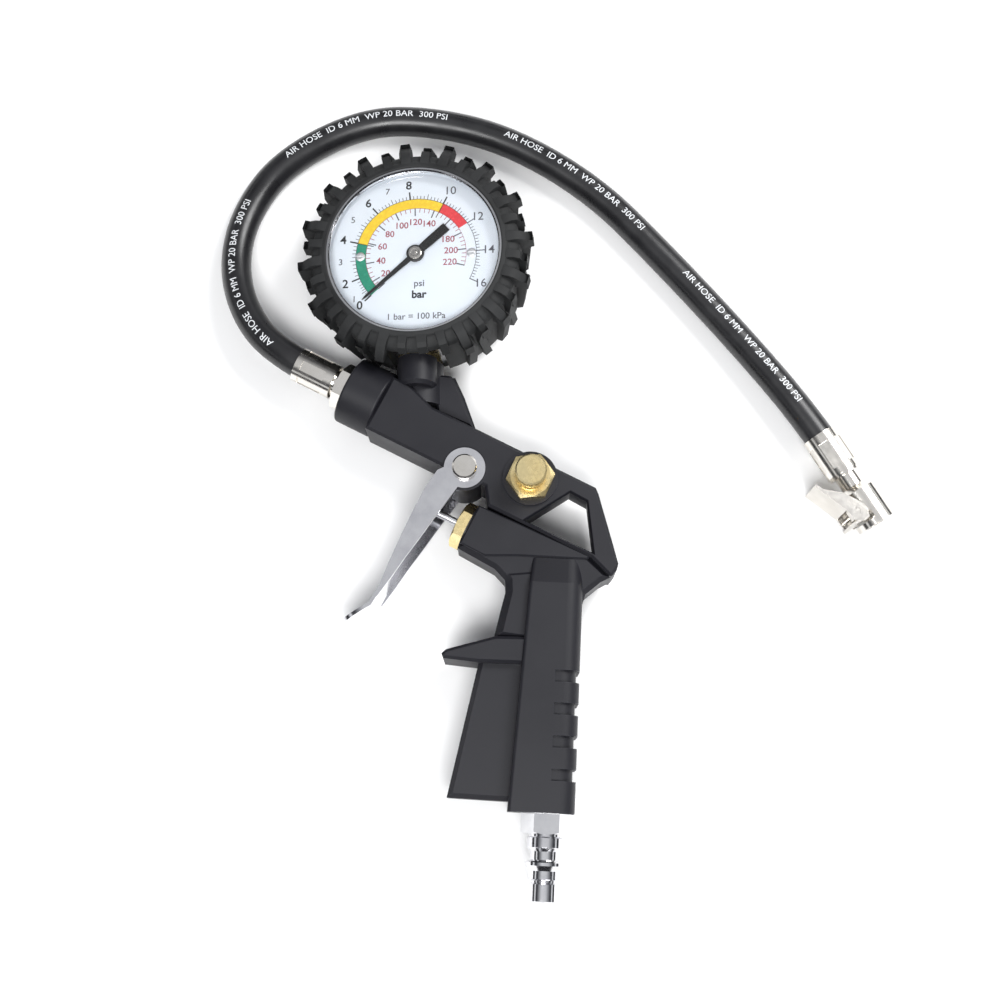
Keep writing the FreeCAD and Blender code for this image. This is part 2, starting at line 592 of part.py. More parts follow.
# ---- gauge ------------------------------------------------------------------
def gauge_socket():
    """Brass stem: thread, hexagon, and the block inside the case that carries the works."""
    up = Vector(0, 1, 0)
    thread = rod(STEM_THREAD, Vector(0, STEM_BOSS_TOP - 9, 0), up, 9.5)
    head = hexagon(STEM_HEX_FLATS, Vector(0, STEM_BOSS_TOP, 0), up, 2.9, turn=30, chamfer=0.4)
    neck = rod(5.0, Vector(0, STEM_BOSS_TOP + 2.5, 0), up, 6.0)
    inside = block(-6, 6, -28.6, -14.0, -4.0, 4.0)
    mount = block(-6, 6, -15.0, 9.0, 3.0, 5.0)
    arbor_hole = rod(ARBOR_RADIUS + RUN_GAP, Vector(0, 0, 0), Z, 20)
    duct = rod(1.5, Vector(0, STEM_BOSS_TOP - 10, 0), up, 24)
    return in_gauge(union([thread, head, neck, inside, mount]).cut(duct).cut(arbor_hole))


def gauge_case():
    cup = rod(CASE_RADIUS, Vector(0, 0, CASE_BACK), Z, CASE_FRONT - CASE_BACK)
    cup = cup.cut(rod(CASE_RADIUS - CASE_WALL, Vector(0, 0, CASE_BACK + CASE_WALL), Z, 60))
    return in_gauge(cup.cut(rod(5.0, Vector(0, -60, 0), Vector(0, 1, 0), 40)))


def gauge_bezel():
    """Ring crimped over the front of the case, holding the lens."""
    profile = [(LENS_RADIUS, CASE_FRONT), (CASE_RADIUS, CASE_FRONT),
               (CASE_RADIUS, CASE_FRONT + 2.4), (CASE_RADIUS - 0.5, CASE_FRONT + 2.9),
               (BEZEL_INSIDE + 0.4, CASE_FRONT + 2.9), (BEZEL_INSIDE, CASE_FRONT + 2.3),
               (BEZEL_INSIDE, CASE_FRONT + LENS_THICKNESS), (LENS_RADIUS, CASE_FRONT + LENS_THICKNESS)]
    return in_gauge(lathe(profile, Vector(0, 0, 0), Z))


def gauge_lens():
    return in_gauge(rod(LENS_RADIUS, Vector(0, 0, CASE_FRONT), Z, LENS_THICKNESS))


def dial_plate():
    """Printed disc with a hole for the arbor, standing on the movement's front plate."""
    disc = rod(DIAL_RADIUS, Vector(0, 0, DIAL_FACE - DIAL_THICKNESS), Z, DIAL_THICKNESS)
    rim = tube(CASE_RADIUS - CASE_WALL, DIAL_RADIUS - 1, Vector(0, 0, DIAL_FACE - DIAL_THICKNESS - 0.8),
               Z, 0.8)
    disc = union([disc, rim]).cut(rod(ARBOR_RADIUS + 0.5, Vector(0, 0, 0), Z, 30))
    for side in (-1, 1):
        disc = disc.cut(rod(0.9, Vector(side * DIAL_SCREW_AT, 0, 0), Z, 30))
    return in_gauge(disc)


def dial_screws():
    """Two pan-head screws that hold the dial to the posts of the front plate."""
    screws = []
    for side in (-1, 1):
        foot = Vector(side * DIAL_SCREW_AT, 0, DIAL_FACE)
        head = lathe([(0, 0), (1.6, 0), (1.6, 0.4), (1.1, 0.7), (0, 0.7)], foot, Z)
        slot = block(foot.x - 2, foot.x + 2, -0.2, 0.2, DIAL_FACE + 0.4, DIAL_FACE + 1)
        shank = rod(0.9, foot - Z * 1.8, Z, 2.0)
        screws.append(in_gauge(union([head.cut(slot), shank])))
    return Part.makeCompound(screws)


def movement_plates():
    """Front plate and back plate joined by pillars, with arms that carry the dial."""
    arm = union([rod(9.0, Vector(0, 0, FRONT_PLATE), Z, PLATE_THICKNESS),
                 block(-DIAL_SCREW_AT - 2, DIAL_SCREW_AT + 2, -2.0, 2.0, FRONT_PLATE,
                       FRONT_PLATE + PLATE_THICKNESS)])
    back = rod(7.0, Vector(0, 0, 5.0), Z, PLATE_THICKNESS)
    ear = union([block(-16.5, 0, -7.5, -1.8, 5.0, 5.0 + PLATE_THICKNESS),
                 block(-16.5, 0, -7.5, -1.8, FRONT_PLATE, FRONT_PLATE + PLATE_THICKNESS)])
    pieces = [arm, back, ear]
    for x, y in ((4.6, 4.0), (4.6, -4.0)):
        pieces.append(rod(1.0, Vector(x, y, 5.5), Z, FRONT_PLATE - 5.2))
    for side in (-1, 1):
        post = rod(1.6, Vector(side * DIAL_SCREW_AT, 0, FRONT_PLATE), Z,
                   DIAL_FACE - DIAL_THICKNESS - FRONT_PLATE)
        pieces.append(post.cut(rod(0.9, Vector(side * DIAL_SCREW_AT, 0, FRONT_PLATE + 1.4), Z, 5)))
    plates = union(pieces).cut(rod(ARBOR_RADIUS + RUN_GAP, Vector(0, 0, 0), Z, 30))
    return in_gauge(plates.cut(rod(ARBOR_RADIUS + RUN_GAP, sector_pivot(0), Z, 30)))


def sector_pivot(z):
    turn = math.radians(SECTOR_ANGLE)
    return Vector(PIVOT_TO_SECTOR * math.cos(turn), PIVOT_TO_SECTOR * math.sin(turn), z)


def pointer_arbor():
    """Arbor with its pinion, from the back plate to just behind the pointer's hub."""
    shaft = rod(ARBOR_RADIUS, Vector(0, 0, 5.0), Z, DIAL_FACE + POINTER_CLEAR - 5.0)
    pinion = rod(PINION_RADIUS, Vector(0, 0, 7.6), Z, 2.2)
    return in_gauge(union([shaft, pinion]))


def sector_gear():
    """Toothed sector on its own arbor, with the short tail that the link pulls."""
    pivot = sector_pivot(7.9)
    reach = PIVOT_TO_SECTOR - PINION_RADIUS - 0.25
    disc = rod(reach, pivot, Z, 1.2)
    toward = SECTOR_ANGLE + 180
    wedge = [pivot]
    for turn in (-40, -17, 6):
        a = math.radians(toward + turn)
        wedge.append(pivot + Vector(math.cos(a), math.sin(a), 0) * 2 * reach)
    blade = disc.common(prism(wedge, 7.9, 9.1))
    hub = rod(1.8, pivot, Z, 1.2)
    shaft = rod(ARBOR_RADIUS, sector_pivot(5.1), Z, FRONT_PLATE + 0.8 - 5.1)
    back = math.radians(toward + 150)
    tail_end = pivot + Vector(math.cos(back), math.sin(back), 0) * 3.6
    side = Vector(-math.sin(back), math.cos(back), 0) * 0.9
    tail = prism([pivot + side, tail_end + side, tail_end - side, pivot - side], 7.9, 9.1)
    return in_gauge(union([blade, hub, shaft, tail]))


def bourdon_tube():
    """Flat bent tube, open at the stem block and closed at its free tip."""
    ring = tube(22.0, 19.6, Vector(0, 0, -1.0), Z, 5.0)
    points = [Vector(0, 0, 0)]
    for turn in (-94, -40, 20, 80, 140, 196):
        a = math.radians(turn + 24)
        points.append(Vector(math.cos(a), math.sin(a), 0) * 60)
    band = ring.common(prism(points, -1.0, 4.0))
    foot = block(6.0, 9.5, -21.8, -18.4, -1.0, 4.0)
    tip_turn = math.radians(218)
    tip = Vector(math.cos(tip_turn), math.sin(tip_turn), 0) * 20.8
    lug = rod(1.5, Vector(tip.x, tip.y, -1.0), Z, 8.0)
    return in_gauge(union([band, foot, lug]))


def movement_link():
    """Thin strip from the tube's tip to the sector's tail."""
    tip_turn = math.radians(218)
    start = Vector(math.cos(tip_turn), math.sin(tip_turn), 0) * 20.8
    pivot = sector_pivot(0)
    back = math.radians(SECTOR_ANGLE + 330)
    end = pivot + Vector(math.cos(back), math.sin(back), 0) * 3.6
    run = (end - start).normalize()
    side = Vector(-run.y, run.x, 0) * 0.8
    return in_gauge(prism([start - side, end - side, end + side, start + side], 7.1, 7.6))


def hairspring():
    """Flat spiral of half circles around the arbor."""
    step = 0.45
    def spiral(first):
        edges, radius, x = [], first, first
        for k in range(8):
            centre = x - radius if k % 2 == 0 else x + radius
            sign = 1 if k % 2 == 0 else -1
            end = centre - sign * radius
            edges.append(Part.Arc(Vector(x, 0, 10.1), Vector(centre, sign * radius, 10.1),
                                  Vector(end, 0, 10.1)).toShape())
            x, radius = end, radius + step / 2
        return edges, x
    outer, outer_end = spiral(1.45)
    inner, inner_end = spiral(1.30)
    start_cap = Part.LineSegment(Vector(1.30, 0, 10.1), Vector(1.45, 0, 10.1)).toShape()
    end_cap = Part.LineSegment(Vector(outer_end, 0, 10.1), Vector(inner_end, 0, 10.1)).toShape()
    wire = Part.Wire(Part.__sortEdges__(outer + [end_cap] + inner + [start_cap]))
    ribbon = Part.Face(wire).extrude(Vector(0, 0, 0.5))
    collet = tube(1.35, ARBOR_RADIUS + RUN_GAP, Vector(0, 0, 10.1), Z, 0.5)
    return in_gauge(union([ribbon, collet]))


def gauge_pointer():
    """Thin arm, broad counterweight and a round hub, pointing at zero."""
    low = DIAL_FACE + POINTER_CLEAR
    a = math.radians(POINTER_ZERO)
    ahead = Vector(math.cos(a), math.sin(a), 0)
    side = Vector(-ahead.y, ahead.x, 0)
    arm = prism([side * 1.0, ahead * 22.5 + side * 0.35, ahead * 24, ahead * 22.5 - side * 0.35,
                 side * -1.0], low, low + 0.5)
    tail = prism([side * 1.1, ahead * -5 + side * 1.5, ahead * -14 + side * 1.6,
                  ahead * -14 - side * 1.6, ahead * -5 - side * 1.5, side * -1.1], low, low + 0.5)
    hub = lathe([(0, 0), (3.0, 0), (3.0, 0.7), (2.2, 1.1), (0, 1.1)], Vector(0, 0, low), Z)
    return in_gauge(union([arm, tail, hub]))


def rubber_boot():
    """Tyre-shaped rubber cover: deep lugs at the front shoulder that fall away to the back."""
    bead = CASE_FRONT + 2.9
    shell = lathe([(23.0, BOOT_BACK), (BOOT_BASE - 3.4, BOOT_BACK), (BOOT_BASE - 1.0, BOOT_BACK + 2.4),
                   (BOOT_BASE, 0.0), (BOOT_BASE, CASE_FRONT - 1.5), (BOOT_BASE - 1.6, BOOT_FRONT - 1.2),
                   (BOOT_BASE - 3.0, BOOT_FRONT), (BOOT_LIP, BOOT_FRONT), (BOOT_LIP, bead), (CASE_RADIUS, bead),
                   (CASE_RADIUS, CASE_BACK), (23.0, CASE_BACK)], Vector(0, 0, 0), Z)
    pieces = [shell]
    for k in range(BOOT_LUGS):
        reach = BOOT_TALL if k % 2 == 0 else BOOT_SHORT
        a = math.radians(360.0 / BOOT_LUGS * (k + 0.5))
        out, side = Vector(math.cos(a), math.sin(a), 0), Vector(-math.sin(a), math.cos(a), 0)
        profile = [(BOOT_BASE - 2.6, BOOT_BACK + 1.5), (BOOT_BASE + 0.4, BOOT_BACK + 1.5),
                   (reach - 1.2, -2.0), (reach, 7.0), (reach, CASE_FRONT - 2.5), (reach - 2.4, CASE_FRONT + 0.6),
                   (BOOT_BASE - 1.2, BOOT_FRONT - 1.0), (BOOT_BASE - 2.6, BOOT_FRONT - 1.0)]
        corners = [out * r + Z * z for r, z in profile]
        face = Part.Face(Part.makePolygon([c - side * LUG_HALF for c in corners + corners[:1]]))
        pieces.append(face.extrude(side * 2 * LUG_HALF))
    boot = union(pieces)
    boot = boot.cut(block(-NOTCH_HALF, NOTCH_HALF, -50, -30, -NOTCH_HALF, CASE_FRONT - 1.5))
    boot = in_gauge(boot.cut(block(-NOTCH_HALF, NOTCH_HALF, -50, -BOOT_BASE - 0.6, -NOTCH_HALF, 40)))
    return boot.cut(rod(COLLAR_RADIUS + FREE_GAP, barrel(COLLAR_START - 4, 0), ALONG, COLLAR_LENGTH + 7))


# ---- hose fittings ----------------------------------------------------------


def dented_ferrule(inside, wall, start, direction, length, rows):
    """Crimped sleeve with a lip at each end and oblong dents pressed around it."""
    outer = inside + wall
    flare = 0.35
    sleeve = lathe([(inside + flare, 0), (outer, 0), (outer, length), (inside + flare, length),
                    (inside, length - 1.5), (inside, 1.5)], start, direction)
    frame = Placement(start, Rotation(Vector(0, 0, 1), direction))
    for k in range(rows):
        a = math.radians(360.0 / rows * k + 25)
        out, side = Vector(math.cos(a), math.sin(a), 0), Vector(-math.sin(a), math.cos(a), 0)
        low, high, half = length * 0.22, length * 0.84, 1.7
        corners = [out * (outer - 0.45) - side * half + Z * low, out * (outer - 0.45) + side * half + Z * low,
                   out * (outer - 0.45) + side * half + Z * high, out * (outer - 0.45) - side * half + Z * high]
        dent = Part.Face(Part.makePolygon(corners + corners[:1])).extrude(out * 3)
        dent.Placement = frame
        sleeve = sleeve.cut(dent)
    return sleeve


def hose_fitting():
    """Threaded hose tail: shank in the nose, hexagon, neck and a barbed stem in the hose."""
    back = ALONG * -1
    face = barrel(COLLAR_START, 0)
    shank = rod(THREAD_RADIUS, face, ALONG, 9.0)
    head = hexagon(NUT_FLATS, face, back, FITTING_HEX, turn=0, chamfer=0.5)
    neck = rod(4.6, face + back * (FITTING_HEX - 0.5), back, FITTING_NECK + 0.9)
    start = FITTING_HEX + FITTING_NECK + 0.4
    barb = rod(HOSE_BORE - 0.5, face + back * (start - 0.5), back, 11.5)
    rings = [taper(HOSE_BORE, HOSE_BORE - 0.5, face + back * (start + 2.2 + 2.6 * k), back, 1.6)
             for k in range(3)]
    duct = rod(1.6, face + ALONG * 12, back, 40)
    return union([shank, head, neck, barb] + rings).cut(duct)


def gun_ferrule():
    start = FITTING_HEX + FITTING_NECK
    return dented_ferrule(HOSE_RADIUS, FERRULE_WALL, barrel(COLLAR_START - start, 0), ALONG * -1,
                          GUN_FERRULE_END - start + COLLAR_START, 6)


def chuck_ferrule():
    return dented_ferrule(HOSE_RADIUS, FERRULE_WALL, chuck(0, 0), CHUCK_ALONG, CHUCK_FERRULE, 6)


def hose():
    """Tube along the route: straight runs joined by tangent arcs."""
    points = [Vector(*p) for p in HOSE_ROUTE]
    edges, radii, last = [], [], points[0]
    for before, corner, after in zip(points, points[1:], points[2:]):
        arrive = (corner - before).normalize()
        leave = (after - corner).normalize()
        turn = arrive.getAngle(leave)
        cut = 0.45 * min((corner - before).Length, (after - corner).Length)
        first, second = corner - arrive * cut, corner + leave * cut
        radius = cut / math.tan(turn / 2)
        toward = (leave - arrive).normalize()
        centre = first + (toward - arrive * toward.dot(arrive)).normalize() * radius
        middle = centre + (corner - centre).normalize() * radius
        edges.append(Part.LineSegment(last, first).toShape())
        edges.append(Part.Arc(first, middle, second).toShape())
        radii.append(radius)
        last = second
    edges.append(Part.LineSegment(last, points[-1]).toShape())
    path = Part.Wire(edges)
    start_dir = (points[1] - points[0]).normalize()
    solids = []
    for radius in (HOSE_RADIUS, HOSE_BORE):
        ring = Part.Wire(Part.makeCircle(radius, points[0], start_dir))
        solids.append(path.makePipeShell([ring], True, False))
    hollow = solids[0].cut(solids[1])
    expected = math.pi * (HOSE_RADIUS ** 2 - HOSE_BORE ** 2) * path.Length
    print("hose radii", [round(r, 1) for r in radii], "length", round(path.Length, 1))
    print("hose volume", round(hollow.Volume), "section times length", round(expected))
    return hollow


# ---- chuck ------------------------------------------------------------------
def chuck_connector():
    """Hose tail with a thin disc flange, screwed into the chuck's head."""
    flange = rod(5.6, chuck(CHUCK_FERRULE, 0), CHUCK_ALONG, 0.9)
    neck = rod(4.0, chuck(CHUCK_FERRULE + 0.5, 0), CHUCK_ALONG, CHUCK_HEAD_START - CHUCK_FERRULE - 0.5)
    shank = rod(3.4, chuck(CHUCK_HEAD_START - 0.5, 0), CHUCK_ALONG, 3.0)
    end = 12.0
    barb = rod(HOSE_BORE - 0.5, chuck(end - 10, 0), CHUCK_ALONG, CHUCK_FERRULE - end + 10.5)
    rings = [taper(HOSE_BORE - 0.5, HOSE_BORE, chuck(end - 9 + 2.6 * k, 0), CHUCK_ALONG, 1.6)
             for k in range(3)]
    return union([flange, neck, shank, barb] + rings).cut(rod(1.6, chuck(0, 0), CHUCK_ALONG, 30))


def chuck_collar():
    """Spacer that closes the sleeve between the hose's end and the flange."""
    start = 11.25
    return tube(HOSE_RADIUS, HOSE_BORE - 0.5, chuck(start, 0), CHUCK_ALONG, CHUCK_FERRULE - start)


def chuck_body():
    """Clip-on head: bore for the tyre valve, claw slot, and a flat cheek on each side."""
    head = union([taper(5.0, CHUCK_HEAD_RADIUS, chuck(CHUCK_HEAD_START, 0), CHUCK_ALONG, 2.0),
                  rod(CHUCK_HEAD_RADIUS, chuck(CHUCK_HEAD_START + 2, 0), CHUCK_ALONG,
                      CHUCK_END - CHUCK_HEAD_START - 2)])
    head = head.cut(rod(CHUCK_BORE, chuck(CHUCK_SEAL_FACE, 0), CHUCK_ALONG, 20))
    head = head.cut(rod(CHUCK_SEAL_RADIUS, chuck(CHUCK_SEAL_FACE - CHUCK_SEAL_LENGTH, 0), CHUCK_ALONG,
                        CHUCK_SEAL_LENGTH))
    head = head.cut(rod(2.0, chuck(CHUCK_HEAD_START - 1, 0), CHUCK_ALONG, 6))
    head = head.cut(rod(3.4, chuck(CHUCK_HEAD_START - 1, 0), CHUCK_ALONG, 3.5))
    slot = prism([chuck(30.8, -10), chuck(33.6, -10), chuck(33.6, -1.5), chuck(30.8, -1.5)],
                 CHUCK_Z - 12, CHUCK_Z + 12)
    head = head.cut(slot)
    return head.cut(rod(LEVER_PIN_RADIUS, chuck(LEVER_PIVOT_ALONG, LEVER_PIVOT_SIDE, -12), Z, 24))


def chuck_seal():
    start = CHUCK_SEAL_FACE - CHUCK_SEAL_LENGTH
    return tube(CHUCK_SEAL_RADIUS, 1.8, chuck(start, 0), CHUCK_ALONG, CHUCK_SEAL_LENGTH)


def chuck_depressor():
    """Pin on a spider that opens the tyre valve's core."""
    start = CHUCK_HEAD_START + 2.5
    disc = rod(2.0, chuck(start, 0), CHUCK_ALONG, 0.8).cut(rod(0.45, chuck(start - 1, 1.3), CHUCK_ALONG, 3))
    return union([disc, rod(0.8, chuck(start, 0), CHUCK_ALONG, CHUCK_SEAL_FACE - start - 0.2)])


def chuck_lever():
    """Pressed thumb lever: plate, two side cheeks on the pin, and the claw in the slot."""
    outside = CHEEK_INSIDE + CHEEK
    pieces = []
    cheek_plan = [chuck(15.8, -12.9), chuck(21.5, -6.6), chuck(28, -2.6), chuck(32.6, -3.4), chuck(33.0, -5.5),
                  chuck(31.0, -8.6), chuck(27.0, -8.8)]
    for base in (CHUCK_Z - outside, CHUCK_Z + CHEEK_INSIDE):
        pieces.append(prism(cheek_plan, base, base + CHEEK))
    plan = [chuck(14.6, -13.5), chuck(27.0, -8.8), chuck(26.7, -8.0), chuck(14.3, -12.7)]
    pieces.append(prism(plan, CHUCK_Z - outside, CHUCK_Z + outside))
    claw = [chuck(31.6, -9.2), chuck(32.6, -9.2), chuck(32.6, -4.3), chuck(31.6, -4.3)]
    pieces.append(prism(claw, CHUCK_Z - outside, CHUCK_Z + outside))
    lever = union(pieces)
    return lever.cut(rod(LEVER_PIN_RADIUS + RUN_GAP, chuck(LEVER_PIVOT_ALONG, LEVER_PIVOT_SIDE, -12), Z, 24))


def chuck_lever_pin():
    outside = CHEEK_INSIDE + CHEEK - 0.1
    return rod(LEVER_PIN_RADIUS, chuck(LEVER_PIVOT_ALONG, LEVER_PIVOT_SIDE, -outside), Z, 2 * outside)


def chuck_spring():
    """Small coil that pushes the thumb plate away from the head."""
    foot = chuck(LEVER_SPRING_AT, -CHUCK_HEAD_RADIUS - RUN_GAP)
    return spring(1.1, 0.25, 2, foot, CHUCK_ACROSS * -1, LEVER_SPRING_LENGTH)


NODES = {
    "gun_body": gun_body, "nose_collar": nose_collar,
    "gland_nut": gland_nut, "gland_seal": gland_seal, "push_pin": push_pin, "valve_seat": valve_seat,
    "valve_poppet": valve_poppet, "valve_spring": valve_spring,
    "trigger_lever": trigger_lever, "trigger_pin": trigger_pin, "pin_clip": pin_clip,
    "bleed_nut": bleed_nut, "bleed_button": bleed_button, "bleed_seal": bleed_seal,
    "bleed_spring": bleed_spring,
    "inlet_plug": inlet_plug, "inlet_seal": inlet_seal, "inlet_filter": inlet_filter,
    "gauge_socket": gauge_socket, "gauge_case": gauge_case, "gauge_bezel": gauge_bezel,
    "gauge_lens": gauge_lens, "dial_plate": dial_plate, "dial_screws": dial_screws,
    "movement_plates": movement_plates, "pointer_arbor": pointer_arbor, "sector_gear": sector_gear,
    "bourdon_tube": bourdon_tube, "movement_link": movement_link, "hairspring": hairspring,
    "gauge_pointer": gauge_pointer, "rubber_boot": rubber_boot,
    "hose_fitting": hose_fitting, "gun_ferrule": gun_ferrule, "hose": hose,
    "chuck_ferrule": chuck_ferrule, "chuck_connector": chuck_connector, "chuck_collar": chuck_collar,
    "chuck_body": chuck_body, "chuck_seal": chuck_seal, "chuck_depressor": chuck_depressor,
    "chuck_lever": chuck_lever, "chuck_lever_pin": chuck_lever_pin, "chuck_spring": chuck_spring,
}


def main():
    os.makedirs("parts", exist_ok=True)
    for name, make in NODES.items():
        shape = make()
        count = len(shape.Solids)
        wanted = 2 if name == "dial_screws" else 1
        if not shape.isValid() or count != wanted:
            print("CHECK", name, "valid", shape.isValid(), "solids", count)
        shape.exportStep("parts/" + name + ".step")


main()
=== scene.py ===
import json
from math import asin, ceil, cos, pi, radians, sin

import bmesh
import bpy
from mathutils import Matrix, Vector


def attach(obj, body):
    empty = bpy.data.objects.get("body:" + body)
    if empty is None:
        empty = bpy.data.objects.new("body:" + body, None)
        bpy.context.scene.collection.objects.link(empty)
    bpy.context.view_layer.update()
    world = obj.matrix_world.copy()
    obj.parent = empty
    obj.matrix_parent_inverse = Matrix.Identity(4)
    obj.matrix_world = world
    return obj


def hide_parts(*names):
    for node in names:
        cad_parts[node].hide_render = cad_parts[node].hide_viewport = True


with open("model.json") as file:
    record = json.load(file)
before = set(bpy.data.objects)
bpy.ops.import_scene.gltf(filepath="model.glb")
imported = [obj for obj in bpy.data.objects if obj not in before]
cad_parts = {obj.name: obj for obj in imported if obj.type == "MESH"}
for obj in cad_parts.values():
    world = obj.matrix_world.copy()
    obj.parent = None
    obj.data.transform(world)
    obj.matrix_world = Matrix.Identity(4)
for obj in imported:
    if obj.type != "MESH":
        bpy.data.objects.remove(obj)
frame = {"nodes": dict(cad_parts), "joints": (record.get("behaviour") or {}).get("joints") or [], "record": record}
NODES = frame["nodes"]
JOINTS = {joint["name"]: joint for joint in frame["joints"]}
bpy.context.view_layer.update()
MM = 0.001

# ---- places taken from the frame ----------------------------------------------
DIAL_AXIS = -Vector(JOINTS["pointer_turn"]["axis"]).normalized()

def dial_right():
    """Direction from the dial's left screw to its right one."""
    places = [vertex.co for vertex in NODES["dial_screws"].data.vertices]
    middle = sum(places, Vector()) / len(places)
    right = sum((place - middle for place in places if place.x > middle.x), Vector())
    return (right - DIAL_AXIS * right.dot(DIAL_AXIS)).normalized()


DIAL_RIGHT = dial_right()
DIAL_UP = DIAL_AXIS.cross(DIAL_RIGHT)


def reach(node, origin, axis):
    """Lowest and highest place of a node along an axis, and its largest distance from that axis."""
    along, out = [], []
    for vertex in NODES[node].data.vertices:
        offset = vertex.co - origin
        height = offset.dot(axis)
        along.append(height)
        out.append((offset - axis * height).length)
    return min(along), max(along), max(out)


DIAL_ORIGIN = Vector(JOINTS["pointer_turn"]["pos_m"])
DIAL_FACE = reach("dial_plate", DIAL_ORIGIN, DIAL_AXIS)[1]
DIAL_PLACE = Matrix((DIAL_RIGHT, DIAL_UP, DIAL_AXIS)).transposed().to_4x4()
DIAL_PLACE.translation = DIAL_ORIGIN


def add_piece(name, made, material):
    """A mesh object made from a bmesh, in the scene."""
    mesh = bpy.data.meshes.new(name)
    made.to_mesh(mesh)
    made.free()
    mesh.materials.append(material)
    piece = bpy.data.objects.new(name, mesh)
    bpy.context.scene.collection.objects.link(piece)
    return piece


# ---- materials ------------------------------------------------------------------
class Finish:
    """A material under construction: its Principled shader and short calls for the nodes that feed it."""

    def __init__(self, name, colour, roughness, metallic=0.0):
        self.material = bpy.data.materials.new(name)
        self.material.use_nodes = True
        self.tree = self.material.node_tree
        self.shader = self.tree.nodes["Principled BSDF"]
        self.shader.inputs["Base Color"].default_value = (*colour, 1.0)
        self.shader.inputs["Roughness"].default_value = roughness
        self.shader.inputs["Metallic"].default_value = metallic
        self.place = self.node("ShaderNodeTexCoord").outputs["Object"]

    def node(self, kind, **values):
        made = self.tree.nodes.new(kind)
        for key, value in values.items():
            setattr(made, key, value)
        return made

    def feed(self, target, value):
        if isinstance(value, bpy.types.NodeSocket):
            self.tree.links.new(value, target)
        else:
            target.default_value = value

    def noise(self, scale, detail=3.0, roughness=0.55, vector=None):
        made = self.node("ShaderNodeTexNoise")
        self.feed(made.inputs["Vector"], vector or self.place)
        made.inputs["Scale"].default_value = scale
        made.inputs["Detail"].default_value = detail
        made.inputs["Roughness"].default_value = roughness
        return made.outputs["Fac"]

    def range(self, value, low, high, start=0.0, end=1.0):
        made = self.node("ShaderNodeMapRange")
        self.feed(made.inputs["Value"], value)
        for key, number in (("From Min", low), ("From Max", high), ("To Min", start), ("To Max", end)):
            made.inputs[key].default_value = number
        return made.outputs["Result"]

    def math(self, operation, first, second=0.0):
        made = self.node("ShaderNodeMath", operation=operation)
        self.feed(made.inputs[0], first)
        self.feed(made.inputs[1], second)
        return made.outputs["Value"]

    def blend(self, share, first, second):
        """A colour between two colours."""
        made = self.node("ShaderNodeMix", data_type="RGBA")
        self.feed(made.inputs[0], share)
        for socket, value in ((made.inputs[6], first), (made.inputs[7], second)):
            self.feed(socket, value if isinstance(value, bpy.types.NodeSocket) else (*value, 1.0))
        return made.outputs[2]

    def bump(self, height, strength, distance):
        """Adds a bump over any that the shader already has."""
        made = self.node("ShaderNodeBump")
        self.feed(made.inputs["Height"], height)
        made.inputs["Strength"].default_value = strength
        made.inputs["Distance"].default_value = distance
        old = self.shader.inputs["Normal"]
        if old.links:
            self.feed(made.inputs["Normal"], old.links[0].from_socket)
        self.feed(old, made.outputs["Normal"])

    def edges(self, radius):
        """One along sharp edges, nought on flat faces."""
        rounded = self.node("ShaderNodeBevel", samples=6)
        rounded.inputs["Radius"].default_value = radius
        plain = self.node("ShaderNodeNewGeometry").outputs["Normal"]
        dot = self.node("ShaderNodeVectorMath", operation="DOT_PRODUCT")
        self.feed(dot.inputs[0], rounded.outputs["Normal"])
        self.feed(dot.inputs[1], plain)
        return self.range(dot.outputs["Value"], 0.985, 0.86)

    def set(self, socket, value):
        self.feed(self.shader.inputs[socket], value)


def moulded_body():
    """Charcoal glass-filled nylon with a fine spark-eroded grain, lighter along its edges: partly polish from
    handling, partly a painted highlight.
    """
    f = Finish("moulded_body", (0.014, 0.0145, 0.017), 0.45)
    patches = f.noise(45.0, 4.0)
    edge_wear_and_highlight = f.edges(0.0007)
    base = f.blend(patches, (0.0080, 0.0080, 0.0110), (0.0125, 0.0125, 0.0165))
    # Painted highlight and wear: the colour turns paler along sharp edges, partly for handling wear and partly as
    # a painted edge sheen.
    f.set("Base Color", f.blend(f.math("MULTIPLY", edge_wear_and_highlight, 0.35), base, (0.036, 0.036, 0.044)))
    dull = f.range(patches, 0.3, 0.7, 0.42, 0.53)
    f.set("Roughness", f.math("SUBTRACT", dull, f.math("MULTIPLY", edge_wear_and_highlight, 0.12)))
    f.shader.inputs["Specular IOR Level"].default_value = 0.3
    f.bump(f.noise(2600.0, 2.0), 0.35, 0.00004)
    f.bump(f.noise(700.0, 2.0), 0.12, 0.00008)
    return f.material


def rubber(name, colour, roughness, grain=1400.0):
    f = Finish(name, colour, roughness)
    patches = f.noise(70.0, 5.0)
    pale = tuple(1.9 * c + 0.004 for c in colour)
    f.set("Base Color", f.blend(f.range(patches, 0.35, 0.75), colour, pale))
    f.set("Roughness", f.range(patches, 0.3, 0.7, roughness - 0.07, roughness + 0.08))
    f.shader.inputs["Specular IOR Level"].default_value = 0.3
    f.bump(f.noise(grain, 3.0), 0.3, 0.00005)
    return f.material


def hose_rubber():
    """Smooth extruded cover: faint patches, a fine grain and a soft shine."""
    f = Finish("hose_rubber", (0.010, 0.010, 0.012), 0.30)
    patches = f.noise(110.0, 4.0)
    f.set("Base Color", f.blend(patches, (0.008, 0.008, 0.009), (0.015, 0.015, 0.017)))
    f.set("Roughness", f.range(patches, 0.3, 0.7, 0.25, 0.38))
    f.bump(f.noise(1500.0, 2.0), 0.12, 0.00003)
    return f.material


